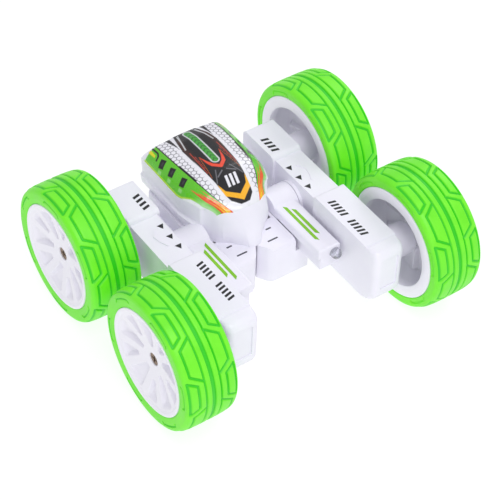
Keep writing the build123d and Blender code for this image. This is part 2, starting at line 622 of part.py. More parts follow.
def pod_profile(section, shrink):
    """Closed pod section, drawn in by a wall thickness."""
    y, bottom, shoulder, edge, ridge = section
    half = (
        (bottom - shrink, CHASSIS_TOP_Z),
        (shoulder[0] - shrink, shoulder[1] - 0.5 * shrink),
        (edge[0] - 0.6 * shrink, edge[1] - shrink),
    )
    other = tuple((-x, z) for x, z in reversed(half))
    return (*half, (0, ridge - shrink), *other)


def between(front, back, share):
    """Pod section part of the way from one section to the next."""
    def mix(a, b):
        return a + share * (b - a)
    return (
        mix(front[0], back[0]),
        mix(front[1], back[1]),
        tuple(mix(a, b) for a, b in zip(front[2], back[2])),
        tuple(mix(a, b) for a, b in zip(front[3], back[3])),
        mix(front[4], back[4]),
    )


def pod_solid(sections, shrink):
    """Loft a pod body through its sections."""
    with BuildPart() as body:
        for section in sections:
            with BuildSketch(Plane.XZ.offset(-section[0])):
                with BuildLine():
                    Polyline(*pod_profile(section, shrink), close=True)
                make_face()
        loft(ruled=True)
    return body.part


def set_back(section):
    """Pod section moved back by one wall, where the front slopes."""
    return (section[0] + POD_WALL, *section[1:])


inner_sections = (
    set_back(between(POD_SECTIONS[0], POD_SECTIONS[1], 0.45)),
    set_back(POD_SECTIONS[1]),
    *POD_SECTIONS[2:8],
    between(POD_SECTIONS[7], POD_SECTIONS[8], 0.55),
)
with BuildPart() as pod_shell:
    add(pod_solid(POD_SECTIONS, 0.0))
    add(pod_solid(inner_sections, POD_WALL), mode=Mode.SUBTRACT)
    for side_name, side in SIDES:
        disc(side, 12.0, HOUSING_INNER_X, PIVOT, SWING_AXLE_RADIUS + RUN_FIT, Mode.SUBTRACT)
        disc(side, HOUSING_INNER_X - 0.1, 30.0, PIVOT, HINGE_RADIUS + 0.1, Mode.SUBTRACT)
        block(side, HOUSING_INNER_X - 0.1, 30.0, (-20.0, PIVOT_Y, 30.0, HOUSING_Z[1] + 0.1),
              Mode.SUBTRACT)
save(pod_shell.part, "pod_shell")

# printed sticker that wraps over the roof and the two slopes
with BuildPart() as pod_decal:
    for section in POD_SECTIONS[1:8]:
        y, bottom, shoulder, edge, ridge = section
        surface = (shoulder, edge, (0, ridge), (-edge[0], edge[1]), (-shoulder[0], shoulder[1]))
        raised = tuple((1.008 * x, z + DECAL) for x, z in reversed(surface))
        with BuildSketch(Plane.XZ.offset(-y)):
            with BuildLine():
                Polyline(*surface, *raised, close=True)
            make_face()
    loft(ruled=True)
save(pod_decal.part, "pod_decal")
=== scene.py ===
from itertools import product
from math import cos, pi, radians, sin

import bmesh
import bpy
import numpy as np
from mathutils import Matrix, Vector


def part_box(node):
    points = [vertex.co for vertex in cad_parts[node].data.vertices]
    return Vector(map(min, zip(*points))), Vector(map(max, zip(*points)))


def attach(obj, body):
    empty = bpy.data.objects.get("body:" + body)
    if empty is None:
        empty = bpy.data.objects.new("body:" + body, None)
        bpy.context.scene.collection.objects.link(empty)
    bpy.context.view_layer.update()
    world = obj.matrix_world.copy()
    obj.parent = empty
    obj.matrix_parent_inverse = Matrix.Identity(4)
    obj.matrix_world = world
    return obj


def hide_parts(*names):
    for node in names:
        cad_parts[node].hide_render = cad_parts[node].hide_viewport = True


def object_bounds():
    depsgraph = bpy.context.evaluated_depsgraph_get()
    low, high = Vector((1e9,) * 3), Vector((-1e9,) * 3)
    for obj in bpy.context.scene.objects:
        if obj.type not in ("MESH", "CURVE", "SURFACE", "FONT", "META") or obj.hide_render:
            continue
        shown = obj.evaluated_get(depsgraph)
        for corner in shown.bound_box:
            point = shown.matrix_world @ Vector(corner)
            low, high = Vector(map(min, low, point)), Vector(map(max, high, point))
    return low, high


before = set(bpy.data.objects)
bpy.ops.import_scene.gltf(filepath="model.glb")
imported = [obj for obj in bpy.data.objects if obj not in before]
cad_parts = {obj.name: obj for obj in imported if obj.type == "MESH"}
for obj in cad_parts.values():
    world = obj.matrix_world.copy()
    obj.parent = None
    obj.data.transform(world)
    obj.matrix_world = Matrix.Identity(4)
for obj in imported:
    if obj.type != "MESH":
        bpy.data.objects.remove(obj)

# Lengths are in millimetres and become metres when a mesh is made.
MM = 0.001
SIDES = (("left", -1), ("right", 1))
ENDS = ("front", "rear")
CAD_LOW, CAD_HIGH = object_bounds()


def box_mm(node):
    """Lowest and highest corner of a CAD node, in millimetres."""
    low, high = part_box(node)
    return np.array(low) / MM, np.array(high) / MM


# ---- materials ----------
NOISE_RANGE = (0.3, 0.7)        # the part of a noise's range that ramps spread over


def srgb(red, green, blue):
    """Linear colour of an 8-bit display colour."""
    parts = []
    for value in (red, green, blue):
        share = value / 255
        parts.append(share / 12.92 if share <= 0.04045 else ((share + 0.055) / 1.055) ** 2.4)
    return (*parts, 1.0)


def ink(red, green, blue):
    """Linear colour of an 8-bit display colour, without its alpha."""
    return srgb(red, green, blue)[:3]


def new_material(name):
    """Empty node material with a principled shader; returns material, nodes, links, shader."""
    material = bpy.data.materials.new(name)
    material.use_nodes = True
    tree = material.node_tree
    return material, tree.nodes, tree.links, tree.nodes["Principled BSDF"]


def set_inputs(node, **values):
    """Set a node's sockets by name, with _ in place of each space."""
    for socket, value in values.items():
        node.inputs[socket.replace("_", " ")].default_value = value


def add_noise(nodes, links, scale, detail, stretch=(1, 1, 1)):
    """Noise in object coordinates, which are metres."""
    place = nodes.new("ShaderNodeTexCoord")
    mapping = nodes.new("ShaderNodeMapping")
    set_inputs(mapping, Scale=stretch)
    noise = nodes.new("ShaderNodeTexNoise")
    set_inputs(noise, Scale=scale, Detail=detail)
    links.new(place.outputs["Object"], mapping.inputs["Vector"])
    links.new(mapping.outputs["Vector"], noise.inputs["Vector"])
    return noise


def add_ramp(nodes, links, noise, low, high):
    """Colour ramp between two colours over the middle of a noise's range."""
    ramp = nodes.new("ShaderNodeValToRGB")
    for element, position, colour in zip(ramp.color_ramp.elements, NOISE_RANGE, (low, high)):
        element.position = position
        element.color = colour
    links.new(noise.outputs["Fac"], ramp.inputs["Fac"])
    return ramp


def add_tint(nodes, links, shader, scale, detail, low, high, stretch=(1, 1, 1)):
    """Base colour that drifts between two 8-bit tints; returns the noise that drives it."""
    noise = add_noise(nodes, links, scale, detail, stretch)
    ramp = add_ramp(nodes, links, noise, srgb(*low), srgb(*high))
    links.new(ramp.outputs["Color"], shader.inputs["Base Color"])
    return noise


def add_bump(nodes, links, shader, texture, strength, distance):
    """Surface relief from a texture, its height in millimetres."""
    bump = nodes.new("ShaderNodeBump")
    set_inputs(bump, Strength=strength, Distance=distance * MM)
    links.new(texture.outputs["Fac"], bump.inputs["Height"])
    links.new(bump.outputs["Normal"], shader.inputs["Normal"])


def add_roughness(nodes, links, shader, low, high, scale):
    """Roughness that drifts between two values, with fine rubbed patches."""
    noise = add_noise(nodes, links, scale, 5.0)
    spread = nodes.new("ShaderNodeMapRange")
    set_inputs(spread, From_Min=NOISE_RANGE[0], From_Max=NOISE_RANGE[1], To_Min=low, To_Max=high)
    links.new(noise.outputs["Fac"], spread.inputs["Value"])
    links.new(spread.outputs["Result"], shader.inputs["Roughness"])


def moulded(name, low, high, rough, relief=0.02, coat=0.0, soft=0.0):
    """Moulded plastic or rubber: drifting tint, drifting roughness and a fine surface grain."""
    material, nodes, links, shader = new_material(name)
    add_tint(nodes, links, shader, 60.0, 4.0, low, high)
    add_roughness(nodes, links, shader, *rough, 180.0)
    fine = add_noise(nodes, links, 900.0, 2.0)
    add_bump(nodes, links, shader, fine, 0.25, relief)
    set_inputs(shader, Coat_Weight=coat, Coat_Roughness=0.12, Subsurface_Weight=soft,
               Subsurface_Radius=(1.5 * MM, 1.5 * MM, 1.5 * MM))
    return material


def tyre_rubber(name, crown, groove):
    """Lime rubber with painted shade: the groove attribute mixes in a darker green where light doesn't
    reach.
    """
    material, nodes, links, shader = new_material(name)
    tint = add_noise(nodes, links, 90.0, 4.0)
    surface = add_ramp(nodes, links, tint, *crown)
    depth = nodes.new("ShaderNodeAttribute")
    depth.attribute_name = "groove"
    blend = nodes.new("ShaderNodeMix")
    blend.data_type = "RGBA"
    set_inputs(blend, B=groove)
    links.new(depth.outputs["Fac"], blend.inputs["Factor"])
    links.new(surface.outputs["Color"], blend.inputs["A"])
    links.new(blend.outputs["Result"], shader.inputs["Base Color"])
    add_roughness(nodes, links, shader, 0.4, 0.52, 180.0)
    fine = add_noise(nodes, links, 1400.0, 2.0)
    add_bump(nodes, links, shader, fine, 0.3, 0.04)
    return material


def metal(name, low, high, rough, stretch):
    """Metal with drawn or turned scratches along one axis."""
    material, nodes, links, shader = new_material(name)
    streaks = add_tint(nodes, links, shader, 700.0, 4.0, low, high, stretch)
    add_roughness(nodes, links, shader, *rough, 400.0)
    add_bump(nodes, links, shader, streaks, 0.3, 0.02)
    set_inputs(shader, Metallic=1.0)
    return material


def clear_lens(name):
    """Cast clear resin with a slightly uneven skin."""
    material, nodes, links, shader = new_material(name)
    ripple = add_tint(nodes, links, shader, 250.0, 2.0, (246, 246, 252), (232, 234, 246))
    add_roughness(nodes, links, shader, 0.04, 0.12, 300.0)
    add_bump(nodes, links, shader, ripple, 0.2, 0.03)
    set_inputs(shader, Transmission_Weight=0.75, IOR=1.46)
    return material


def printed(name):
    """Sticker film: the printed artwork is the mesh's colour attribute, under an uneven gloss."""
    material, nodes, links, shader = new_material(name)
    artwork = nodes.new("ShaderNodeVertexColor")
    artwork.layer_name = "artwork"
    worn = add_noise(nodes, links, 300.0, 5.0)
    fade = add_ramp(nodes, links, worn, (0.96, 0.96, 0.96, 1), (1, 1, 1, 1))
    blend = nodes.new("ShaderNodeMix")
    blend.data_type = "RGBA"
    blend.blend_type = "MULTIPLY"
    set_inputs(blend, Factor=1.0)
    links.new(artwork.outputs["Color"], blend.inputs["A"])
    links.new(fade.outputs["Color"], blend.inputs["B"])
    links.new(blend.outputs["Result"], shader.inputs["Base Color"])
    add_roughness(nodes, links, shader, 0.22, 0.34, 220.0)
    add_bump(nodes, links, shader, worn, 0.15, 0.02)
    set_inputs(shader, Coat_Weight=0.35, Coat_Roughness=0.1)
    return material


def circuit(name):
    """Green lacquered board with paler copper runs."""
    material, nodes, links, shader = new_material(name)
    place = nodes.new("ShaderNodeTexCoord")
    runs = nodes.new("ShaderNodeTexBrick")
    set_inputs(runs, Scale=260.0, Color1=srgb(22, 92, 48), Color2=srgb(26, 104, 56),
               Mortar=srgb(92, 150, 80), Mortar_Size=0.06)
    links.new(place.outputs["Object"], runs.inputs["Vector"])
    links.new(runs.outputs["Color"], shader.inputs["Base Color"])
    add_roughness(nodes, links, shader, 0.3, 0.45, 200.0)
    add_bump(nodes, links, shader, runs, 0.3, 0.05)
    return material


GLOSS = {"relief": 0.008, "coat": 0.1, "soft": 0.05}
FINISHES = {
    # the lime tyre's last colour is painted shade for its grooves and side-wall marks
    "lime_tyre": tyre_rubber("lime_rubber", (srgb(110, 238, 30), srgb(122, 247, 40)), srgb(52, 208, 28)),
    "white_rim": moulded("white_gloss_plastic", (242, 241, 249), (245, 244, 251), (0.3, 0.36), **GLOSS),
    "white_shell": moulded("white_shell_plastic", (239, 237, 248), (243, 242, 251), (0.3, 0.37), **GLOSS),
    "steel": metal("plated_steel", (176, 178, 184), (206, 208, 214), (0.22, 0.36), (1, 6, 6)),
    "brass_screw": metal("bronzed_screw", (112, 92, 78), (150, 126, 104), (0.3, 0.45), (1, 5, 5)),
    "nylon_gear": moulded("nylon", (226, 224, 214), (236, 234, 226), (0.4, 0.55), soft=0.1),
    "motor_can": metal("motor_can", (150, 152, 156), (186, 188, 192), (0.25, 0.4), (8, 1, 1)),
    "brass_pinion": metal("brass", (190, 154, 84), (214, 180, 108), (0.22, 0.35), (1, 6, 6)),
    "clear_lens": clear_lens("clear_resin"),
    "battery_wrap": moulded("battery_wrap", (34, 92, 152), (44, 104, 168), (0.25, 0.4), coat=0.4),
    "circuit_board": circuit("circuit_board"),
    "black_plastic": moulded("black_plastic", (24, 24, 26), (34, 34, 37), (0.35, 0.5)),
    "printed_decal": moulded("black_print", (22, 22, 26), (30, 30, 34), (0.3, 0.45)),
}
ARTWORK = printed("sticker_film")
GREEN_PRINT = moulded("green_print", (122, 190, 22), (136, 204, 34), (0.3, 0.42), relief=0.01)
GREY_PRINT = moulded("grey_print", (62, 62, 72), (76, 76, 86), (0.4, 0.5), relief=0.01)

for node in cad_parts.values():
    for place in node.material_slots:
        place.material = FINISHES[place.material.name.split(".")[0]]


# ---- mesh helpers ----------
PRINT_THICKNESS, PRINT_ROOT = 0.05, 0.02


def add_object(name, data):
    """New object in the scene."""
    made = bpy.data.objects.new(name, data)
    bpy.context.scene.collection.objects.link(made)
    return made


def to_new_mesh(work, name):
    """New mesh from a bmesh, which is freed."""
    mesh = bpy.data.meshes.new(name)
    work.to_mesh(mesh)
    work.free()
    return mesh


def finish_piece(mesh, name, body, slot, sharp=32.0, material=None):
    """Wrap a mesh in an object that rides on a body, shaded smooth except at its sharp edges.
    With no sharp angle, the mesh keeps the normals that it came with. The material is the slot's
    own, unless another is given."""
    mesh.materials.append(material or FINISHES[slot])
    if sharp is not None:
        mesh.shade_smooth()
        mesh.set_sharp_from_angle(angle=radians(sharp))
    piece = add_object(name, mesh)
    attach(piece, body)
    return piece


def quad_mesh(name, points, quads):
    """Mesh from an array of points in millimetres and an array of quads."""
    mesh = bpy.data.meshes.new(name)
    mesh.vertices.add(len(points))
    mesh.vertices.foreach_set("co", (points * MM).astype(np.float32).ravel())
    mesh.loops.add(quads.size)
    mesh.loops.foreach_set("vertex_index", quads.astype(np.int32).ravel())
    mesh.polygons.add(len(quads))
    mesh.polygons.foreach_set("loop_start", np.arange(0, quads.size, 4, dtype=np.int32))
    mesh.update(calc_edges=True)
    return mesh


def grid_quads(rows, columns, wrap=False, first=0):
    """Quads of a rows x columns grid of points numbered row by row."""
    row = np.arange(rows if wrap else rows - 1)
    column = np.arange(columns if wrap else columns - 1)
    r, c = np.meshgrid(row, column, indexing="ij")
    next_r, next_c = (r + 1) % rows, (c + 1) % columns
    corners = (r * columns + c, r * columns + next_c, next_r * columns + next_c, next_r * columns + c)
    return first + np.stack(corners, axis=-1).reshape(-1, 4)


def grid_border(rows, columns):
    """Numbers of the points round the edge of such a grid, in order."""
    return np.concatenate((
        np.arange(columns), np.arange(1, rows) * columns + columns - 1,
        (rows - 1) * columns + np.arange(columns - 1)[::-1], np.arange(1, rows - 1)[::-1] * columns,
    ))


def swept(profile, steps):
    """x and radius arrays with the same (x, radius) points at every step round a ring."""
    rows = np.array(profile)
    return np.tile(rows[:, 0], (steps, 1)), np.tile(rows[:, 1], (steps, 1))


def ring_piece(name, parts, centre, side, body, slot, sharp):
    """Closed ring about an axle, from stretches of profile: each an x array, measured outwards, and
    a radius array, with a row for every step round."""
    x, radius = (np.concatenate([part[i] for part in parts], axis=1) for i in (0, 1))
    steps, profile = radius.shape
    angle = np.linspace(0, 2 * pi, steps, endpoint=False)[:, None]
    points = np.stack((
        side * x, centre[0] - radius * np.cos(angle), centre[1] + radius * np.sin(angle),
    ), axis=-1).reshape(-1, 3)
    quads = grid_quads(steps, profile, wrap=True)
    mesh = quad_mesh(name, points, quads if side < 0 else quads[:, ::-1])
    outward(mesh)
    return finish_piece(mesh, name, body, slot, sharp)


def outward(mesh):
    """Turn every face of a closed mesh outwards."""
    work = bmesh.new()
    work.from_mesh(mesh)
    bmesh.ops.recalc_face_normals(work, faces=work.faces)
    work.to_mesh(mesh)
    work.free()


def to_segment(px, py, start, end):
    """Distance from points to a segment."""
    dx, dy = end[0] - start[0], end[1] - start[1]
    share = np.clip(((px - start[0]) * dx + (py - start[1]) * dy) / (dx * dx + dy * dy), 0, 1)
    return np.hypot(px - start[0] - share * dx, py - start[1] - share * dy)


def to_line(px, py, points):
    """Distance from points to an open line of segments."""
    return np.minimum.reduce([to_segment(px, py, a, b) for a, b in zip(points, points[1:])])


def to_outline(px, py, points):
    """Signed distance to a closed outline, negative inside."""
    inside = np.zeros(np.broadcast(px, py).shape, bool)
    for (ax, ay), (bx, by) in zip(points, (*points[1:], points[0])):
        if ay == by:
            continue
        inside ^= ((ay > py) != (by > py)) & (px < (bx - ax) * (py - ay) / (by - ay) + ax)
    distance = to_line(px, py, (*points, points[0]))
    return np.where(inside, -distance, distance)


def ease(low, high, value):
    """Smooth step from 0 at low to 1 at high."""
    share = np.clip((value - low) / (high - low), 0, 1)
    return share * share * (3 - 2 * share)


def prism(work, outline, low, high, axis="z"):
    """Closed prism of an outline between two levels along z, or along x or y."""
    def place(point, level):
        a, b = point
        return {"z": (a, b, level), "y": (a, level, b), "x": (level, a, b)}[axis]
    lower = [work.verts.new([MM * value for value in place(p, low)]) for p in outline]
    upper = [work.verts.new([MM * value for value in place(p, high)]) for p in outline]
    work.faces.new(lower[::-1])
    work.faces.new(upper)
    count = len(outline)
    for i in range(count):
        j = (i + 1) % count
        work.faces.new((lower[i], lower[j], upper[j], upper[i]))


def prism_piece(name, outlines, low, high, body, slot, material=None, bevel=0.0):
    """Piece made of one or more separate prisms."""
    work = bmesh.new()
    for outline in outlines:
        prism(work, outline, low, high)
    bmesh.ops.recalc_face_normals(work, faces=work.faces)
    if bevel:
        bmesh.ops.bevel(work, geom=list(work.edges), offset=bevel * MM, segments=2, affect="EDGES")
    finish_piece(to_new_mesh(work, name), name, body, slot, material=material)


def print_piece(name, outlines, surface, body, material=None):
    """Flat print, a hair above the surface that it lies on and rooted a little way into it."""
    prism_piece(name, outlines, surface - PRINT_ROOT, surface + PRINT_THICKNESS, body, "printed_decal",
                material)


def ribbon_outline(points, width):
    """Closed outline of a line of points drawn with a pen of some width, mitred at its corners."""
    line = np.array(points, float)
    ahead = np.diff(line, axis=0)
    ahead /= np.linalg.norm(ahead, axis=1)[:, None]
    normals = np.stack((-ahead[:, 1], ahead[:, 0]), axis=1)
    before = np.vstack((normals[:1], normals))
    after = np.vstack((normals, normals[-1:]))
    mitre = before + after
    mitre /= (mitre * after).sum(1)[:, None]
    left = line + mitre * width / 2
    right = line - mitre * width / 2
    return [tuple(p) for p in np.vstack((left, right[::-1]))]


def solid(outline, low, high, axis):
    """Temporary object: a prism to cut with."""
    work = bmesh.new()
    prism(work, outline, low, high, axis)
    bmesh.ops.remove_doubles(work, verts=work.verts, dist=0.001 * MM)
    bmesh.ops.recalc_face_normals(work, faces=work.faces)
    return add_object("temporary", to_new_mesh(work, "temporary"))


def cut_with(block, cutters):
    """Subtract temporary objects from another."""
    for cutter in cutters:
        cut = block.modifiers.new("cut", "BOOLEAN")
        cut.operation = "DIFFERENCE"
        cut.solver = "EXACT"
        cut.object = cutter


def applied(block, cutters):
    """Mesh of an object with its modifiers applied. The temporary objects are removed."""
    bpy.context.view_layer.update()
    evaluated = block.evaluated_get(bpy.context.evaluated_depsgraph_get())
    mesh = bpy.data.meshes.new_from_object(evaluated)
    for holder in (block, *cutters):
        bpy.data.objects.remove(holder)
    mesh.materials.clear()
    return mesh


def softened(node, body, width, rounds=(), cuts=()):
    """The CAD node's own shape with moulded edges: every sharp edge is rounded over.
    rounds lists (test, radius): edges whose both ends pass the test get that larger radius first.
    cuts lists boxes to take away before that, each its lowest and highest corner."""
    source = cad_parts[node]
    work = bmesh.new()
    work.from_mesh(source.data)
    bmesh.ops.remove_doubles(work, verts=work.verts, dist=0.002 * MM)
    bmesh.ops.dissolve_limit(work, angle_limit=radians(0.6), verts=work.verts, edges=work.edges,
                             use_dissolve_boundaries=False)
    for test, radius in rounds:
        chosen = [e for e in work.edges if e.is_manifold and e.calc_face_angle(0) > radians(30)
                  and all(test(*(v.co / MM)) for v in e.verts)]
        if chosen:
            bmesh.ops.bevel(work, geom=chosen, offset=radius * MM, segments=6, profile=0.5,
                            affect="EDGES", clamp_overlap=True)
    mesh = to_new_mesh(work, node + "_work")
    mesh.shade_smooth()
    holder = add_object(node + "_work", mesh)
    cutters = [solid(((y0, z0), (y1, z0), (y1, z1), (y0, z1)), x0, x1, "x")
               for (x0, y0, z0), (x1, y1, z1) in cuts]
    cut_with(holder, cutters)
    bevel = holder.modifiers.new("bevel", "BEVEL")
    bevel.width = width * MM
    bevel.segments = 3
    bevel.limit_method = "ANGLE"
    bevel.angle_limit = radians(38.0)
    bevel.use_clamp_overlap = True
    weighted = holder.modifiers.new("weighted", "WEIGHTED_NORMAL")
    weighted.mode = "FACE_AREA"
    weighted.weight = 90
    weighted.thresh = 0.05
    result = applied(holder, cutters)
    bpy.data.meshes.remove(mesh)
    piece = finish_piece(result, node + "_moulded", body, "white_shell", sharp=None)
    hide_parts(node)


# ---- wheels ----------
TYRE_LOW, TYRE_HIGH = box_mm("front_right_wheel_tyre")
TYRE_INNER, TYRE_OUTER = TYRE_LOW[0], TYRE_HIGH[0]
TYRE_MIDDLE = (TYRE_INNER + TYRE_OUTER) / 2
LIP_RADIUS = 24.6
FLANGE_RADIUS = 26.3
TREAD_STEPS = 720
RIM_STEPS = 432
GROOVE_DEPTH = 0.7
WALL_MARK_DEPTH = 0.5
GROOVE_RADIUS, WALL_MARK_RADIUS = 31.0, 28.5    # where the tread and the marks are laid out
TREAD_HALF = 12.4               # half width of the moulded tread
TREAD_PERIOD = 60.0             # degrees round the tyre from one block to the next


def tyre_crown(offset):
    """Outer radius of the tyre at a distance from its middle plane."""
    places = (0.0, 4.5, 8.0, 10.0, 11.2, 12.0, 12.4, 12.5)
    radii = (32.0, 31.98, 31.85, 31.6, 31.25, 30.7, 29.9, 29.2)
    return np.interp(np.abs(offset), places, radii)


def folded(degrees_round):
    """Angle to the middle of the nearest tread block, in degrees."""
    return np.abs((degrees_round + TREAD_PERIOD / 2) % TREAD_PERIOD - TREAD_PERIOD / 2)


def tread_depth(degrees_round, offset):
    """Depth of the moulded grooves: three rings and two rows of trapezoid blocks."""
    fold = folded(degrees_round)
    per_degree = radians(1.0) * GROOVE_RADIUS
    along = fold * per_degree
    opposite = (TREAD_PERIOD / 2 - fold) * per_degree
    across = np.abs(offset)

    def arc(value):
        return value * per_degree

    block = to_line(along, across, ((0, 11.0), (arc(15.2), 11.0), (arc(10.5), 6.8), (0, 6.8)))
    frame_line = to_line(opposite, across, ((0, 9.2), (arc(10.3), 9.2), (arc(17.6), 3.6)))
    lines = 1 - ease(0.30, 0.72, np.minimum(block, frame_line))
    narrow = 1 - ease(0.22, 0.55, np.abs(across - 3.6))
    wide = 1 - ease(0.75, 1.1, across)
    return GROOVE_DEPTH * np.maximum(lines, np.maximum(narrow, wide))


def sidewall_depth(degrees_round, radius):
    """Depth of the fine hooked arcs on each side wall."""
    along = folded(degrees_round) * radians(1.0) * WALL_MARK_RADIUS
    reach = 11.0 * radians(1.0) * WALL_MARK_RADIUS
    arcs = to_line(along, radius, ((0, 28.6), (reach, 28.6), (reach + 0.8, 27.7)))
    return WALL_MARK_DEPTH * (1 - ease(0.18, 0.5, arcs))


def make_tyre(wheel, side, centre, phase):
    """Closed lime tyre with its tread cut into the crown and shoulders."""
    tread = np.linspace(-TREAD_HALF, TREAD_HALF, 99)
    half = (TYRE_OUTER - TYRE_INNER) / 2
    wall = np.linspace(29.4, 25.4, 14)
    degrees_round = np.linspace(0, 360, TREAD_STEPS, endpoint=False)[:, None] - phase
    grooves = tread_depth(degrees_round, tread[None, :])
    crown = tyre_crown(tread)[None, :] - grooves
    marks = sidewall_depth(degrees_round, wall[None, :])
    swell = half - 0.25 * ease(27.4, 25.0, wall)[None, :]
    inner_x = TYRE_MIDDLE - swell + marks
    wall_radius = np.broadcast_to(wall, marks.shape)
    bead = (
        (TYRE_OUTER - 0.3, LIP_RADIUS + 0.35), (TYRE_OUTER - 0.7, LIP_RADIUS + 0.06),
        (TYRE_INNER + 3.3, LIP_RADIUS + 0.06), (TYRE_INNER + 3.3, FLANGE_RADIUS + 0.06),
        (TYRE_INNER + 0.6, FLANGE_RADIUS + 0.06), (TYRE_INNER + 0.2, FLANGE_RADIUS + 0.3),
    )
    is_free = wall > FLANGE_RADIUS + 0.5
    parts = (
        (np.broadcast_to(TYRE_MIDDLE + tread, crown.shape), crown),
        (TYRE_MIDDLE + swell - marks, wall_radius),
        swept(bead, TREAD_STEPS),
        (inner_x[:, is_free][:, ::-1], wall_radius[:, is_free][:, ::-1]),
    )
    piece = ring_piece(wheel + "_tyre", parts, centre, side, wheel + "_wheel", "lime_tyre", sharp=50.0)
    # painted shade: a darker green in the tread grooves and, a little lighter, in the side-wall marks
    painted_groove_shade = np.zeros((TREAD_STEPS, len(piece.data.vertices) // TREAD_STEPS), np.float32)
    painted_groove_shade[:, :len(tread)] = grooves / GROOVE_DEPTH
    painted_groove_shade[:, len(tread):len(tread) + len(wall)] = marks / WALL_MARK_DEPTH * 0.8
    layer = piece.data.attributes.new("groove", "FLOAT", "POINT")
    layer.data.foreach_set("value", painted_groove_shade.ravel())
    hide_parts(wheel + "_wheel_tyre")


POCKETS = 10
HUB_RADIUS = 5.6
BORE_RADIUS = 2.95
FLANGE_BORE = 20.6
DISH_RIM_RADIUS, DISH_HUB_RADIUS = 22.3, 4.4
DISH_RIM_X, DISH_HUB_X = 75.3, 72.3


def dish_height(degrees_round, radius):
    """Outward position of the wheel's face. Its pockets taper, and are long and short in turn, which
    leaves forked spokes."""
    period = 360.0 / POCKETS
    turn = degrees_round / period
    fold = (turn - np.round(turn)) * period
    is_long = np.round(turn) % 2 == 0
    across = np.abs(radius * np.sin(np.radians(fold)))
    start = np.where(is_long, 8.0, 12.0)
    half_width = 0.8 + np.clip(radius - start, 0, None) * 0.29
    inner_end = ease(-0.9, 0.5, radius - start)
    outer_end = 1 - ease(19.4, 21.6, radius)
    pocket = (1 - ease(-0.9, 0.7, across - half_width)) * inner_end * outer_end
    depth = 3.9 - 2.3 * np.clip((radius - start) / (21.0 - start), 0, 1)
    rise = np.clip((radius - DISH_HUB_RADIUS) / (DISH_RIM_RADIUS - DISH_HUB_RADIUS), 0, 1) ** 1.4
    return DISH_HUB_X + (DISH_RIM_X - DISH_HUB_X) * rise - depth * pocket


def back_depth(degrees_round, radius):
    """Inward height of the ribs behind the wheel's face, one behind each spoke."""
    turn = degrees_round / (360.0 / POCKETS)
    fold = (turn - np.floor(turn) - 0.5) * radians(360.0 / POCKETS)
    across = np.abs(radius * np.sin(fold))
    return 2.4 * (1 - ease(0.6, 1.3, across)) * ease(8.6, 9.6, radius) * (1 - ease(19.6, 20.4, radius))


def make_rim(wheel, side, centre, phase):
    """White rim: rolled lip, spoked dish with a sunk screw, hub, barrel and inner flange."""
    degrees_round = np.linspace(0, 360, RIM_STEPS, endpoint=False)[:, None] - phase
    lip = [(TYRE_OUTER - depth, radius) for depth, radius in (
        (8.0, LIP_RADIUS), (0.5, LIP_RADIUS), (0.12, LIP_RADIUS - 0.12), (0.0, LIP_RADIUS - 0.5),
        (0.0, 23.4), (0.12, 23.0), (0.4, 22.6),
    )]
    dish_radii = np.linspace(DISH_RIM_RADIUS, DISH_HUB_RADIUS, 64)
    dish_x = dish_height(degrees_round, dish_radii[None, :])
    hub = (
        (DISH_HUB_X, BORE_RADIUS + 0.6), (DISH_HUB_X - 0.12, BORE_RADIUS + 0.15),
        (DISH_HUB_X - 0.5, BORE_RADIUS), (70.0, BORE_RADIUS), (70.0, 1.15), (69.6, 1.15),
        (58.6, 2.05), (58.6, HUB_RADIUS), (66.4, HUB_RADIUS),
    )
    back_radii = np.linspace(7.0, FLANGE_BORE, 20)
    back_slope = 1.8 * (back_radii - 7.0)[None, :] / 13.6
    back_x = 66.0 - back_slope - back_depth(degrees_round, back_radii[None, :])
    barrel = [(63.6, 21.2), (62.4, 21.6)]
    barrel += [(TYRE_INNER + depth, radius) for depth, radius in (
        (6.0, 22.6), (4.6, 22.4), (4.2, 21.9), (4.2, 21.2), (3.8, 20.7), (3.2, FLANGE_BORE),
        (0.6, FLANGE_BORE), (0.15, FLANGE_BORE + 0.2), (0.0, 21.3), (0.0, FLANGE_RADIUS - 0.6),
        (0.15, FLANGE_RADIUS - 0.15), (0.6, FLANGE_RADIUS), (3.1, FLANGE_RADIUS), (3.1, LIP_RADIUS),
    )]
    parts = (
        swept(lip, RIM_STEPS), (dish_x, np.broadcast_to(dish_radii, dish_x.shape)),
        swept(hub, RIM_STEPS), (back_x, np.broadcast_to(back_radii, back_x.shape)),
        swept(barrel, RIM_STEPS),
    )
    piece = ring_piece(wheel + "_rim", parts, centre, side, wheel + "_wheel", "white_rim", sharp=40.0)
    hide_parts(wheel + "_wheel_rim")


# How far each wheel's tread and its spokes are turned, in degrees.
PHASES = {
    "front_left": (9.2, -47.0), "rear_left": (32.2, -29.0),
    "front_right": (19.0, 10.0), "rear_right": (58.5, 30.0),
}

for end in ENDS:
    for side_name, side in SIDES:
        wheel = f"{end}_{side_name}"
        low, high = box_mm(wheel + "_wheel_tyre")
        axle = ((low[1] + high[1]) / 2, (low[2] + high[2]) / 2)
        tread_phase, spoke_phase = PHASES[wheel]
        make_tyre(wheel, side, axle, tread_phase)
        make_rim(wheel, side, axle, spoke_phase)


# ---- side arms ----------
def mirrored(points, side):
    """Outline on one side of the car, from one drawn on the right."""
    return [(side * x, y) for x, y in points]


def bars(across, start, count, pitch, width, side):
    """Row of slanted bars along y, as generic print where the real part has lettering."""
    low, high = across
    slant = 0.9
    return [
        mirrored(((low, start - i * pitch), (low, start - i * pitch - width),
                  (high, start - i * pitch - width - slant), (high, start - i * pitch - slant)), side)
        for i in range(count)
    ]


def corner_arc(centre, radius, start, steps=8):
    """Quarter circle of points from a start angle in degrees."""
    turns = np.radians(np.linspace(start, start + 90, steps + 1))
    return [(centre[0] + radius * cos(t), centre[1] + radius * sin(t)) for t in turns]


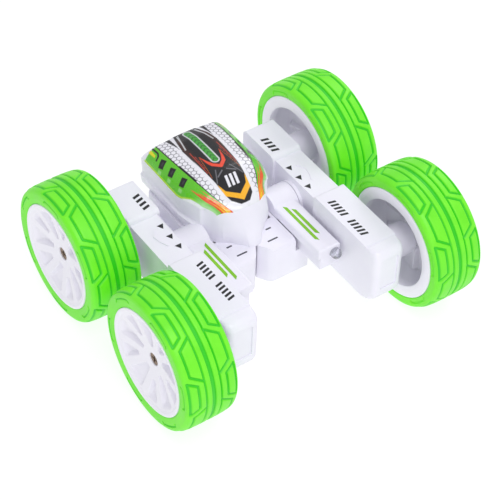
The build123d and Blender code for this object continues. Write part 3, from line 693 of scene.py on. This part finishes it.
def rounded_outline(low, high, radii):
    """Rectangle with its own radius at each corner: top back, top front, bottom front, bottom back."""
    (y0, z0), (y1, z1) = low, high
    back_top, front_top, front_bottom, back_bottom = radii
    return (
        corner_arc((y1 - back_top, z1 - back_top), back_top, 0)
        + corner_arc((y0 + front_top, z1 - front_top), front_top, 90)
        + corner_arc((y0 + front_bottom, z0 + front_bottom), front_bottom, 180)
        + corner_arc((y1 - back_bottom, z0 + back_bottom), back_bottom, 270)
    )


CAP_EDGE_REAR, CAP_EDGE_FRONT = 0.9, 3.0
CAP_TOP_CORNER, CAP_BOTTOM_CORNER = 3.6, 7.0
CAP_HOLLOW_X, CAP_HOLLOW_Y, CAP_HOLLOW_Z = (31.8, 43.7), (-49.4, -40.0), (20.6, 45.2)
CAP_HOLLOW_CORNERS = (0.1, 1.6, 4.6, 0.1)
CAP_PANEL_X, CAP_PANEL_Z = (33.6, 42.0), (25.4, 42.6)
CAP_PANEL_CORNERS = (1.0, 1.0, 1.0, 1.0)
CAP_PANEL_DEPTH = 0.6


def cap_outline(low, high):
    """Points and outward normals round a cap's side profile, from its top back to its bottom back."""
    (y0, z0), (y1, z1) = low, high
    points, normals = [], []
    for centre, radius, start in (
        ((y0 + CAP_TOP_CORNER, z1 - CAP_TOP_CORNER), CAP_TOP_CORNER, 90),
        ((y0 + CAP_BOTTOM_CORNER, z0 + CAP_BOTTOM_CORNER), CAP_BOTTOM_CORNER, 180),
    ):
        points += corner_arc(centre, radius, start, 12)
        normals += corner_arc((0.0, 0.0), 1.0, start, 12)
    points = [(y1, z1), *points, (y1, z0)]
    normals = [(0.0, 1.0), *normals, (0.0, -1.0)]
    return np.array(points), np.array(normals)


def make_end_cap(side_name, side):
    """Front cap of an arm: edges that swell to a large radius at the front, and a sunk front panel."""
    node = f"{side_name}_arm_end_cap"
    low, high = box_mm(node)
    points, normals = cap_outline((low[1], low[2]), (high[1], high[2]))
    forward = ease(high[1], low[1] + 1.0, points[:, 0])
    edge = CAP_EDGE_REAR + (CAP_EDGE_FRONT - CAP_EDGE_REAR) * forward
    work = bmesh.new()
    rings = []
    turns = np.linspace(pi / 2, 0, 9)
    for x_side, direction, order in ((low[0], 1, turns), (high[0], -1, turns[::-1])):
        for turn in order:
            inset = edge * (1 - cos(turn))
            x = x_side + direction * edge * (1 - sin(turn))
            yz = points - normals * inset[:, None]
            rings.append([work.verts.new((MM * a, MM * b, MM * c)) for a, (b, c) in zip(x, yz)])
    for lower, upper in zip(rings, rings[1:]):
        for i in range(len(lower) - 1):
            work.faces.new((lower[i], lower[i + 1], upper[i + 1], upper[i]))
    work.faces.new(rings[0])
    work.faces.new(rings[-1][::-1])
    work.faces.new([ring[0] for ring in rings] + [ring[-1] for ring in reversed(rings)])
    bmesh.ops.remove_doubles(work, verts=work.verts, dist=0.001 * MM)
    bmesh.ops.recalc_face_normals(work, faces=work.faces)
    block = add_object("temporary", to_new_mesh(work, "temporary"))
    inner, outer = sorted(side * x for x in CAP_HOLLOW_X)
    hollow = solid(rounded_outline(*zip(CAP_HOLLOW_Y, CAP_HOLLOW_Z), CAP_HOLLOW_CORNERS), inner, outer, "x")
    panel_x = sorted(side * x for x in CAP_PANEL_X)
    panel = solid(rounded_outline(*zip(panel_x, CAP_PANEL_Z), CAP_PANEL_CORNERS),
                  low[1] - 1.0, low[1] + CAP_PANEL_DEPTH, "y")
    cut_with(block, (hollow, panel))
    mesh = applied(block, (hollow, panel))
    piece = finish_piece(mesh, f"{side_name}_end_cap_moulded", "swing_frame", "white_shell", sharp=34.0)
    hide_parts(node)


# Levels of an arm's front block, rear block and middle.
FRONT_TOP, REAR_TOP, MIDDLE_TOP = 47.0, 45.8, 43.7

for side_name, side in SIDES:
    rear_end = box_mm(f"{side_name}_arm_inner_shell")[1][1]
    softened(f"{side_name}_arm_inner_shell", "swing_frame", 1.0, rounds=(
        (lambda x, y, z: abs(x) < 30.2 and y > rear_end - 0.1 and z > 30.0, 2.4),
    ))
    softened(f"{side_name}_arm_outer_shell", "swing_frame", 0.7, rounds=(
        (lambda x, y, z: abs(x) > 44.9 and abs(z - MIDDLE_TOP) < 0.1 and -6.2 < y < 25.5, 3.4),
        (lambda x, y, z: abs(x) > 45.3 and abs(z - REAR_TOP) < 2.6 and y > 24.3, 2.2),
    ))
    make_end_cap(side_name, side)
    # printed arrows on the middle and plain bars on the two blocks
    arrows = [
        mirrored(((32.4, base), (35.6, base), (34.0, base - 2.9)), side) for base in (18.4, 11.0, 4.1)
    ]
    print_piece(f"{side_name}_arm_arrows", arrows, MIDDLE_TOP, "swing_frame")
    front_bars = [
        bar for start in (-12.4, -26.6) for bar in bars((32.6, 36.2), start, 5, 2.25, 1.2, side)
    ]
    print_piece(f"{side_name}_arm_front_bars", front_bars, FRONT_TOP, "swing_frame")
    emboss = ribbon_outline(mirrored(((37.5, 17.4), (40.1, 13.4), (39.3, 9.2), (37.7, 5.5)), side), 0.9)
    prism_piece(f"{side_name}_arm_raised_line", [emboss], MIDDLE_TOP - 0.1, MIDDLE_TOP + 0.35,
                "swing_frame", "white_shell", bevel=0.12)
    rear_bars = bars((32.4, 36.0), 38.2, 4, 2.7, 1.4, side)
    print_piece(f"{side_name}_arm_rear_bars", rear_bars, REAR_TOP, "swing_frame")


# ---- chassis ----------
DECK_TOP = 33.0
DECK_FRONT = -12.3
TAB_HALF = 4.3                  # half width of the tab in the middle of the deck's front edge
HOUSING_TOP = 38.0
STRIPE_WIDTH = 1.5


def is_front_edge(x, y, z):
    """Whether a point lies on the deck's front edge, along its top or up the sides of its tab."""
    return abs(y - DECK_FRONT) < 0.1 and (z > DECK_TOP - 0.1 or abs(abs(x) - TAB_HALF) < 0.1)


softened("chassis_tub", "chassis", 0.9, rounds=((is_front_edge, 2.6),),
         cuts=(((-0.55, -9.5, 12.0), (0.55, -2.0, DECK_TOP + 0.1)),))
for side_name, side in SIDES:
    softened(f"{side_name}_light_housing", "chassis", 0.7, rounds=(
        (lambda x, y, z: y < -27.2 and z < 33.6, 1.2),
    ))
    # two plain parallel stripes with slanted ends
    stripes = [
        mirrored(((x, back), (x + STRIPE_WIDTH, back - STRIPE_WIDTH),
                  (x + STRIPE_WIDTH, front - STRIPE_WIDTH), (x, front)), side)
        for x, back, front in ((20.4, 3.4, -20.8), (22.9, 0.2, -17.6))
    ]
    print_piece(f"{side_name}_housing_stripe", stripes, HOUSING_TOP, "chassis", GREEN_PRINT)
    dashes = [
        mirrored(((start, back), (end, back), (end, back - 0.8), (start, back - 0.8)), side)
        for start, end, back in ((9.0, 11.7, 0.1), (5.5, 10.7, -6.5))
    ]
    print_piece(f"{side_name}_deck_dashes", dashes, DECK_TOP, "chassis", GREY_PRINT)

LED_STEPS = 64
for side_name, side in SIDES:
    low, high = box_mm(f"{side_name}_headlight")
    led_x, led_z = (low[0] + high[0]) / 2, (low[2] + high[2]) / 2
    led_radius = (high[0] - low[0]) / 2
    dome = [
        (low[1] + led_radius * (1 - cos(a)), led_radius * sin(a)) for a in np.linspace(0.03, pi / 2, 14)
    ]
    barrel = [(low[1] + led_radius + 3.5, led_radius), (low[1] + led_radius + 3.6, led_radius - 0.1),
              (high[1] - 0.05, led_radius - 0.1), (high[1] - 0.05, 0.05)]
    profile = np.array(dome + barrel)
    turn = np.linspace(0, 2 * pi, LED_STEPS, endpoint=False)[:, None]
    points = np.stack((
        led_x + profile[:, 1] * np.cos(turn), np.broadcast_to(profile[:, 0], (LED_STEPS, len(profile))),
        led_z + profile[:, 1] * np.sin(turn),
    ), axis=-1).reshape(-1, 3)
    mesh = quad_mesh(f"{side_name}_headlight_lens", points, grid_quads(LED_STEPS, len(profile), wrap=True))
    outward(mesh)
    lens = finish_piece(mesh, f"{side_name}_headlight_lens", "chassis", "clear_lens")
    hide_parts(f"{side_name}_headlight")


# ---- pod ----------
# Half sections from front to back: y, shoulder x and z, roof edge x and z, ridge z.
POD_SECTIONS = np.array((
    (-1.3, 11.6, 43.6, 6.4, 44.6, 45.4),
    (-0.5, 12.1, 46.0, 6.7, 47.5, 48.6),
    (0.4, 12.5, 47.4, 7.0, 49.4, 50.5),
    (1.4, 13.2, 48.3, 7.5, 50.5, 51.5),
    (5.0, 15.6, 48.9, 9.0, 52.1, 52.9),
    (9.0, 17.2, 49.8, 10.6, 53.4, 54.0),
    (12.5, 18.1, 50.3, 12.0, 55.0, 55.4),
    (16.0, 19.4, 50.5, 13.2, 56.3, 57.0),
    (20.0, 20.6, 50.1, 14.1, 57.1, 57.9),
    (24.5, 21.3, 49.4, 14.6, 57.3, 58.2),
    (30.0, 21.3, 49.4, 15.0, 57.1, 58.3),
    (36.0, 21.2, 49.6, 15.2, 56.8, 58.3),
    (44.0, 21.2, 49.7, 15.5, 56.3, 57.9),
    (50.0, 21.1, 49.6, 15.3, 55.4, 56.1),
    (52.2, 20.9, 49.2, 15.0, 54.4, 55.2),
    (54.3, 20.4, 48.4, 14.2, 51.2, 52.0),
    (55.0, 20.1, 47.8, 13.6, 49.4, 50.2),
))
DECAL_END = 51.2
DECAL_LIFT, DECAL_ROOT = 0.14, 0.1
WALL_LEVELS = 24
ROOF_COLUMNS, SLOPE_COLUMNS = 64, 40
ROW_STEP = 0.2


def spread(rows, column):
    """One section value at each row, rounded a little between the drawn sections."""
    fine = np.arange(-3, 60, 0.1)
    values = np.interp(fine, POD_SECTIONS[:, 0], POD_SECTIONS[:, column])
    width = 0.7
    kernel = np.exp(-0.5 * (np.arange(-3 * width, 3 * width + 0.05, 0.1) / width) ** 2)
    padded = np.pad(values, len(kernel) // 2, mode="edge")
    return np.interp(rows, fine, np.convolve(padded, kernel / kernel.sum(), mode="valid")[:len(fine)])


# Edge of the dark canopy from front to back: half width and y.
CANOPY_EDGE = (
    (2.2, 2.8), (5.4, 5.8), (6.2, 8.7), (6.9, 12.7), (7.4, 16.8), (7.9, 20.8), (8.1, 25.2),
    (8.4, 29.6), (8.7, 34.3), (8.7, 39.2), (7.8, 44.5), (5.9, 51.2),
)


def canopy_half(rows):
    """Half width of the dark canopy at each row."""
    return np.interp(rows, [y for half, y in CANOPY_EDGE], [half for half, y in CANOPY_EDGE])


def pod_top(rows, shares):
    """Points of the pod's top: shares run 0 at the ridge, 1 at the roof edge, 2 at the shoulder."""
    shoulder_x, shoulder_z, edge_x, edge_z, ridge_z = (spread(rows, i)[:, None] for i in range(1, 6))
    roof = np.clip(np.abs(shares), 0, 1)[None, :]
    slope = np.clip(np.abs(shares) - 1, 0, 1)[None, :]
    x = edge_x * roof + (shoulder_x - edge_x) * slope
    z = ridge_z - (ridge_z - edge_z) * roof ** 1.8 + (shoulder_z - edge_z) * slope
    z = z + 0.9 * np.sin(pi * slope)
    x = x + 0.35 * np.sin(pi * slope)
    for _ in range(3):
        inner = slice(1, -1)
        z[:, inner] = 0.25 * z[:, :-2] + 0.5 * z[:, inner] + 0.25 * z[:, 2:]
    signed_x = x * np.sign(shares)[None, :]
    sweep = 1 - ease(0.2, 13.0, rows)[:, None]
    y = rows[:, None] + 5.0 * sweep * (x / 12.4) ** 2.2
    raised = 1 - ease(-0.4, 0.8, np.abs(signed_x) - canopy_half(y))
    z = z + 0.35 * raised * ease(2.6, 8.0, y)
    return np.stack((signed_x, y, z), axis=-1)


def unit(vectors):
    """Vectors scaled to length 1."""
    return vectors / np.linalg.norm(vectors, axis=-1, keepdims=True)


def make_pod():
    """White pod: crowned top, side walls that pull in below the shoulder and a pointed nose."""
    rows = np.arange(-1.3, 55.0 + ROW_STEP, 2 * ROW_STEP)
    slope = np.linspace(1, 2, 15)
    shares = np.concatenate((-slope[::-1], np.linspace(-1, 1, 45)[1:-1], slope))
    top = pod_top(rows, shares)
    row_count, column_count = top.shape[:2]
    rim_index = grid_border(row_count, column_count)
    points = top.reshape(-1, 3)
    rim = points[rim_index]
    # bottom outline: a pointed nose, straight sides and a square tail
    nose = ((0.0, -6.3), (3.0, -5.6), (4.9, -2.9), (9.3, 2.1), (14.5, 5.6), (16.4, 9.1))
    side_places = (0.0, 9.0, 13.7, 20.0, 55.6)
    side_halves = (12.0, 16.4, 17.7, 18.4, 18.5)
    half = np.abs(rim[:, 0])
    front_share = np.clip(half / 14.9, 0, 1)
    nose_shares = (0, 0.27, 0.42, 0.72, 0.93, 1.0)
    nose_x = np.interp(front_share, nose_shares, [p[0] for p in nose])
    nose_y = np.interp(front_share, nose_shares, [p[1] for p in nose])
    is_front = 1 - ease(4.5, 9.0, rim[:, 1])
    side_x = np.interp(rim[:, 1], side_places, side_halves)
    side_x = np.where(rim[:, 1] > 54.0, np.minimum(side_x, half * 0.92), side_x)
    tail_push = 0.6 * ease(53.0, 55.0, rim[:, 1])
    bottom_x = np.sign(rim[:, 0]) * (is_front * nose_x + (1 - is_front) * side_x)
    bottom_y = is_front * nose_y + (1 - is_front) * rim[:, 1] + tail_push
    bottom = np.stack((bottom_x, bottom_y, np.full(len(rim), DECK_TOP)), axis=-1)
    side_points = []
    for level in np.linspace(0, 1, WALL_LEVELS + 1)[1:]:
        share = level ** (1.0 + 0.9 * (1 - is_front))
        point = rim + (bottom - rim) * share[:, None]
        point[:, 2] = rim[:, 2] + (DECK_TOP - rim[:, 2]) * level
        point[:, 0] += np.sign(rim[:, 0]) * 1.2 * ease(0.56, 0.62, level) * ease(12.0, 15.0, rim[:, 1])
        # the front wall swells a little between the sticker and the deck
        swell = 0.9 * sin(pi * level) * is_front
        point[:, 0] += swell * rim[:, 0] / 16.0
        point[:, 1] -= swell
        side_points.append(point)
    loop = len(rim)
    first = len(points)
    all_points = np.vstack((points, *side_points))
    quads = [grid_quads(row_count, column_count)]
    upper = rim_index
    for level in range(WALL_LEVELS):
        lower = first + level * loop + np.arange(loop)
        quads.append(np.stack((upper, lower, np.roll(lower, -1), np.roll(upper, -1)), axis=-1))
        upper = lower
    mesh = quad_mesh("pod_body", all_points, np.vstack(quads))
    work = bmesh.new()
    work.from_mesh(mesh)
    work.verts.ensure_lookup_table()
    work.faces.new([work.verts[int(i)] for i in upper])
    bmesh.ops.recalc_face_normals(work, faces=work.faces)
    work.to_mesh(mesh)
    work.free()
    pod = finish_piece(mesh, "pod_body", "chassis", "white_shell", sharp=16.0)
    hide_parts("pod_shell")


# ---- sticker artwork ----------
WHITE = ink(240, 240, 246)
LEAF = ink(98, 200, 34)
PALE_LEAF = ink(190, 236, 170)
BLACK = ink(9, 8, 10)
EMBER = ink(238, 74, 44)
AMBER = ink(252, 182, 22)
ORANGE = ink(250, 120, 30)
YELLOW = ink(236, 226, 20)
SILVER = ink(214, 218, 220)
BADGE = ink(62, 160, 50)
BADGE_DARK = ink(34, 112, 30)
GREY = ink(72, 72, 80)
ASH = ink(120, 120, 126)
RUST = ink(96, 52, 40)
LIME = ink(206, 232, 60)


def paint(colours, mask, colour):
    """Lay a colour over the artwork where the mask is 1."""
    colours[:] = colours + (np.array(colour) - colours) * mask[..., None]


def fill(distance, soft=0.1):
    """Mask that is 1 inside a signed distance."""
    return 1 - ease(-soft, soft, distance)


def hexagon_lines(px, py, cell, pen):
    """Mask of a honeycomb mesh of some cell size and line width."""
    best = np.full(px.shape, 1e9)
    second = np.full(px.shape, 1e9)
    height = cell * 3 ** 0.5
    steps = (-1, 0, 1)
    for (shift_x, shift_y), step_x, step_y in product(((0, 0), (cell / 2, height / 2)), steps, steps):
        centre_x = (np.round((px - shift_x) / cell) + step_x) * cell + shift_x
        centre_y = (np.round((py - shift_y) / height) + step_y) * height + shift_y
        distance = np.hypot(px - centre_x, py - centre_y)
        second = np.minimum(second, np.maximum(best, distance))
        best = np.minimum(best, distance)
    return 1 - ease(pen * 0.5, pen * 1.1, second - best)


def sticker_colours(x, y, share, edge_x, slope_length):
    """Colour of the printed film at each point of the pod's top."""
    colours = np.broadcast_to(np.array(WHITE), (*x.shape, 3)).copy()
    half = np.abs(x)
    down = np.clip(np.abs(share) - 1, 0, 1) * slope_length
    canopy = to_outline(half, y, ((-1.0, 2.6), *CANOPY_EDGE, (5.9, 60.0), (-1.0, 60.0)))

    # honeycomb on the white bands, fading out next to the canopy and at the front
    band = ease(1.2, 2.6, canopy) * fill(np.abs(share) - 1, 0.02) * ease(3.0, 9.0, y)
    paint(colours, 0.8 * band * hexagon_lines(y, half, 2.3, 0.42), GREY)

    # green side panels with a pale lower front corner
    on_slope = ease(1.0, 1.02, np.abs(share))
    panel = ease(0.99, 1.01, np.abs(share)) * (1 - ease(50.6, 50.9, y))
    paint(colours, panel, LEAF)
    pale = ease(3.0, 6.5, down) * (1 - ease(9.0, 17.0, y)) * on_slope
    paint(colours, pale, PALE_LEAF)
    low_edge = slope_length - np.interp(y, (5.0, 8.0, 13.0, 17.0, 22.0), (0.0, 0.6, 1.4, 1.5, 0.0))
    border = ease(-0.9, -0.5, down - low_edge) * on_slope
    paint(colours, 0.7 * border * ease(12.0, 20.0, y), LIME)
    paint(colours, fill(low_edge - down, 0.15) * (1 - ease(20.0, 22.0, y)), WHITE)

    # black line along the roof edge, with a heavier bar at its middle
    offset = half - edge_x + down
    thin = fill(np.abs(offset + 0.1) - 0.22) * ease(8.0, 9.0, y)
    heavy = fill(to_outline(offset, y, ((-0.9, 32.5), (0.35, 34.0), (0.35, 19.5), (-0.9, 21.0))))
    zigzag = to_line(offset, y, ((0.2, 46.0), (1.7, 41.0), (0.5, 37.5), (2.2, 32.0), (0.6, 27.5),
                                 (1.9, 22.5), (0.2, 18.0)))
    paint(colours, np.maximum(np.maximum(thin, heavy), fill(zigzag - 0.32) * (x > 0)), BLACK)

    # vents, each with a pale reflection under it
    for start in (42.6, 35.5, 27.2):
        vent, glint, shine = (
            to_outline(down, y, [(across, start - back) for across, back in outline]) for outline in (
                ((2.5, 0.0), (1.5, 3.0), (5.9, 4.1), (6.5, 1.2)),
                ((3.1, 1.6), (3.0, 2.6), (4.9, 2.9), (5.0, 2.0)),
                ((6.9, 1.9), (6.9, 4.0), (8.3, 4.4), (8.5, 2.2)),
            )
        )
        paint(colours, fill(vent), BLACK)
        paint(colours, 0.5 * fill(glint), GREY)
        paint(colours, 0.45 * fill(shine, 0.25), PALE_LEAF)

    # yellow flash beside a hooked black strip at the tail
    yellow = to_outline(down, y, ((2.7, 51.5), (4.3, 51.5), (4.3, 46.2), (3.2, 46.6)))
    paint(colours, fill(yellow), YELLOW)
    hook = to_line(down, y, ((1.7, 51.5), (1.7, 46.4), (2.7, 44.9), (4.6, 44.4)))
    paint(colours, fill(hook - 0.45), BLACK)

    # flames that run back from the front corners
    for root, tip, width, colour in (
        ((5.4, 3.0), (7.6, 20.5), 2.2, EMBER), ((3.0, 2.0), (5.6, 16.5), 2.1, EMBER),
        ((0.9, 1.6), (2.8, 17.0), 1.5, EMBER), ((5.0, 3.0), (6.3, 15.0), 1.2, ORANGE),
        ((2.2, 2.0), (4.2, 13.5), 1.2, ORANGE), ((1.1, 1.6), (2.3, 10.5), 0.9, AMBER),
        ((3.0, 2.0), (4.1, 9.5), 0.8, YELLOW), ((5.4, 3.0), (6.0, 10.5), 0.8, AMBER),
    ):
        axis = np.array(tip, float) - np.array(root, float)
        along = ((offset - root[0]) * axis[0] + (y - root[1]) * axis[1]) / (axis @ axis)
        reach = to_segment(offset, y, root, tip)
        flame = reach - width * np.clip(1 - along, 0, 1)
        paint(colours, fill(flame, 0.15) * ease(1.01, 0.99, along), colour)

    # dark canopy with a warm glow towards its edges
    paint(colours, fill(canopy), BLACK)
    inside = fill(canopy + 0.3, 0.2)
    warm = inside * ease(20.0, 34.0, y) * (1 - ease(44.0, 50.0, y)) * ease(-3.5, -0.6, canopy)
    paint(colours, 0.45 * warm, RUST)
    for start, end_point, pen, colour in (
        ((7.0, 36.0), (7.5, 21.0), 0.12, EMBER), ((6.3, 33.0), (6.9, 24.0), 0.07, EMBER),
        ((5.2, 31.5), (7.2, 18.0), 0.07, ORANGE), ((4.8, 49.8), (7.2, 39.0), 0.3, SILVER),
        ((3.9, 50.6), (6.2, 43.5), 0.16, SILVER), ((1.2, 19.5), (4.6, 17.4), 0.3, ASH),
        ((3.6, 21.0), (6.6, 15.0), 0.22, ASH),
    ):
        paint(colours, 0.85 * inside * fill(to_segment(half, y, start, end_point) - pen), colour)

    # amber chevron at the canopy's front
    chevron = ((0.0, 3.9), (6.3, 8.6), (7.0, 14.4), (5.3, 10.6), (0.0, 6.9), (-1.0, 5.2))
    paint(colours, fill(to_outline(half, y, chevron)) * fill(canopy - 0.3), AMBER)

    # plain white bars as a generic race mark
    for shift in (-1.9, 0.3, 2.5):
        bar = ((shift - 1.1, 11.4), (shift + 0.2, 11.4), (shift + 1.2, 16.6), (shift - 0.1, 16.6))
        paint(colours, fill(to_outline(x, y, bar)), WHITE)

    # red arrowhead round the badge's front
    red = to_line(half, y, ((-0.4, 22.1), (0.0, 22.0), (2.9, 24.4), (4.0, 27.0), (5.1, 31.3)))
    taper = 0.75 * (1 - ease(24.0, 31.5, y)) + 0.1
    paint(colours, fill(red - taper), EMBER)

    # badge: silver outline round a green field of plain chevrons
    badge = to_segment(x, y, (0.0, 26.8), (0.0, 48.9)) - 2.15
    paint(colours, fill(badge), SILVER)
    field = badge + 0.62
    paint(colours, fill(field), BADGE)
    weave = np.abs(((y + np.abs(x) * 0.9) / 2.4) % 1.0 - 0.5)
    paint(colours, fill(field) * (1 - ease(0.1, 0.2, weave)), BADGE_DARK)

    # small dark wedge behind the canopy, set off by a white stripe
    wedge = to_outline(half, y, ((7.9, 51.6), (10.2, 51.6), (8.9, 41.2)))
    paint(colours, fill(wedge), BLACK)
    return colours


def make_sticker():
    """Thin printed film over the pod's roof and slopes."""
    rows = np.arange(0.9, DECAL_END + ROW_STEP, ROW_STEP)
    slope = np.linspace(1, 2, SLOPE_COLUMNS)
    roof = np.linspace(-1, 1, 2 * ROOF_COLUMNS + 1)
    shares = np.concatenate((-slope[::-1], roof[1:-1], slope))
    surface = pod_top(rows, shares)
    along = np.gradient(surface, axis=0)
    across = np.gradient(surface, axis=1)
    normals = unit(np.cross(across, along))
    normals *= np.sign(normals[..., 2:3])
    top = surface + normals * DECAL_LIFT
    below = surface - normals * DECAL_ROOT
    row_count, column_count = surface.shape[:2]
    first = row_count * column_count
    upper = grid_quads(row_count, column_count)
    lower = grid_quads(row_count, column_count, first=first)[:, ::-1]
    rim = grid_border(row_count, column_count)
    edge = np.stack((rim, rim + first, np.roll(rim, -1) + first, np.roll(rim, -1)), axis=-1)
    mesh = quad_mesh("pod_sticker", np.vstack((top.reshape(-1, 3), below.reshape(-1, 3))),
                     np.vstack((upper, lower, edge)))
    outward(mesh)
    edge_x = spread(rows, 3)[:, None]
    slope_length = np.hypot(
        spread(rows, 1) - spread(rows, 3), spread(rows, 4) - spread(rows, 2),
    )[:, None]
    x, y, _ = np.moveaxis(surface, -1, 0)
    colours = sticker_colours(x, y, np.broadcast_to(shares, x.shape), edge_x, slope_length).reshape(-1, 3)
    layer = mesh.color_attributes.new("artwork", "FLOAT_COLOR", "POINT")
    full = np.ones((2 * first, 4), np.float32)
    full[:first, :3] = colours
    full[first:, :3] = colours
    layer.data.foreach_set("color", full.ravel())
    sticker = finish_piece(mesh, "pod_sticker", "chassis", "printed_decal", sharp=50.0, material=ARTWORK)
    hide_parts("pod_decal")


make_pod()
make_sticker()


# ---- studio ----------
FLOOR_SIZE = 6.0                # metres, as the other lengths of the studio
LIGHTS_AIM = (0, 0, 0.03)
CAMERA_PLACE = (-0.3260, -0.4479, 0.5786)
CAMERA_LENS, CAMERA_SENSOR = 128.28, 36.0       # millimetres


def make_floor():
    """Plain pale floor, nearly as bright as the backdrop."""
    bpy.ops.mesh.primitive_plane_add(size=FLOOR_SIZE, location=(0, 0, CAD_LOW[2]))
    floor = bpy.context.object
    floor.name = "floor"
    material, nodes, links, shader = new_material("studio_floor")
    add_tint(nodes, links, shader, 1.5, 2.0, (118, 118, 120), (126, 126, 128))
    set_inputs(shader, Roughness=0.9, Emission_Color=(1, 1, 1, 1), Emission_Strength=0.86)
    floor.data.materials.append(material)


def soft_light(name, place, size, power):
    """Square area light aimed at the middle of the car."""
    data = bpy.data.lights.new(name, "AREA")
    data.shape = "SQUARE"
    data.size = size
    data.energy = power
    lamp = add_object(name, data)
    lamp.location = place
    direction = Vector(LIGHTS_AIM) - lamp.location
    lamp.rotation_euler = direction.to_track_quat("-Z", "Y").to_euler()


def make_camera():
    """Camera at the viewing angle: turn and height round the car, and a slight roll."""
    turn, height, roll = radians(-36.14), radians(44.97), radians(2.05)
    back = np.array((sin(turn) * cos(height), -cos(turn) * cos(height), sin(height)))
    right = np.cross((0, 0, 1), back)
    right /= np.linalg.norm(right)
    up = np.cross(back, right)
    tilted_right = cos(roll) * right + sin(roll) * up
    tilted_up = -sin(roll) * right + cos(roll) * up
    data = bpy.data.cameras.new("camera")
    data.lens = CAMERA_LENS
    data.sensor_width = CAMERA_SENSOR
    data.clip_start = 0.01
    data.clip_end = 20.0
    camera = add_object("camera", data)
    rows = np.column_stack((tilted_right, tilted_up, back, CAMERA_PLACE)).tolist()
    camera.matrix_world = Matrix((*rows, (0, 0, 0, 1)))
    bpy.context.scene.camera = camera


def make_world():
    """Even white surroundings."""
    world = bpy.data.worlds.new("studio")
    world.use_nodes = True
    set_inputs(world.node_tree.nodes["Background"], Color=(0.96, 0.95, 1.0, 1), Strength=0.61)
    bpy.context.scene.world = world


make_floor()
make_world()
soft_light("key", (-0.12, -0.5, 1.0), 0.45, 4.0)
soft_light("rim", (0.75, 0.35, 0.7), 0.5, 2.2)
soft_light("fill", (-0.65, -0.75, 0.4), 0.5, 1.0)
make_camera()
bpy.context.scene.view_settings.view_transform = "Standard"
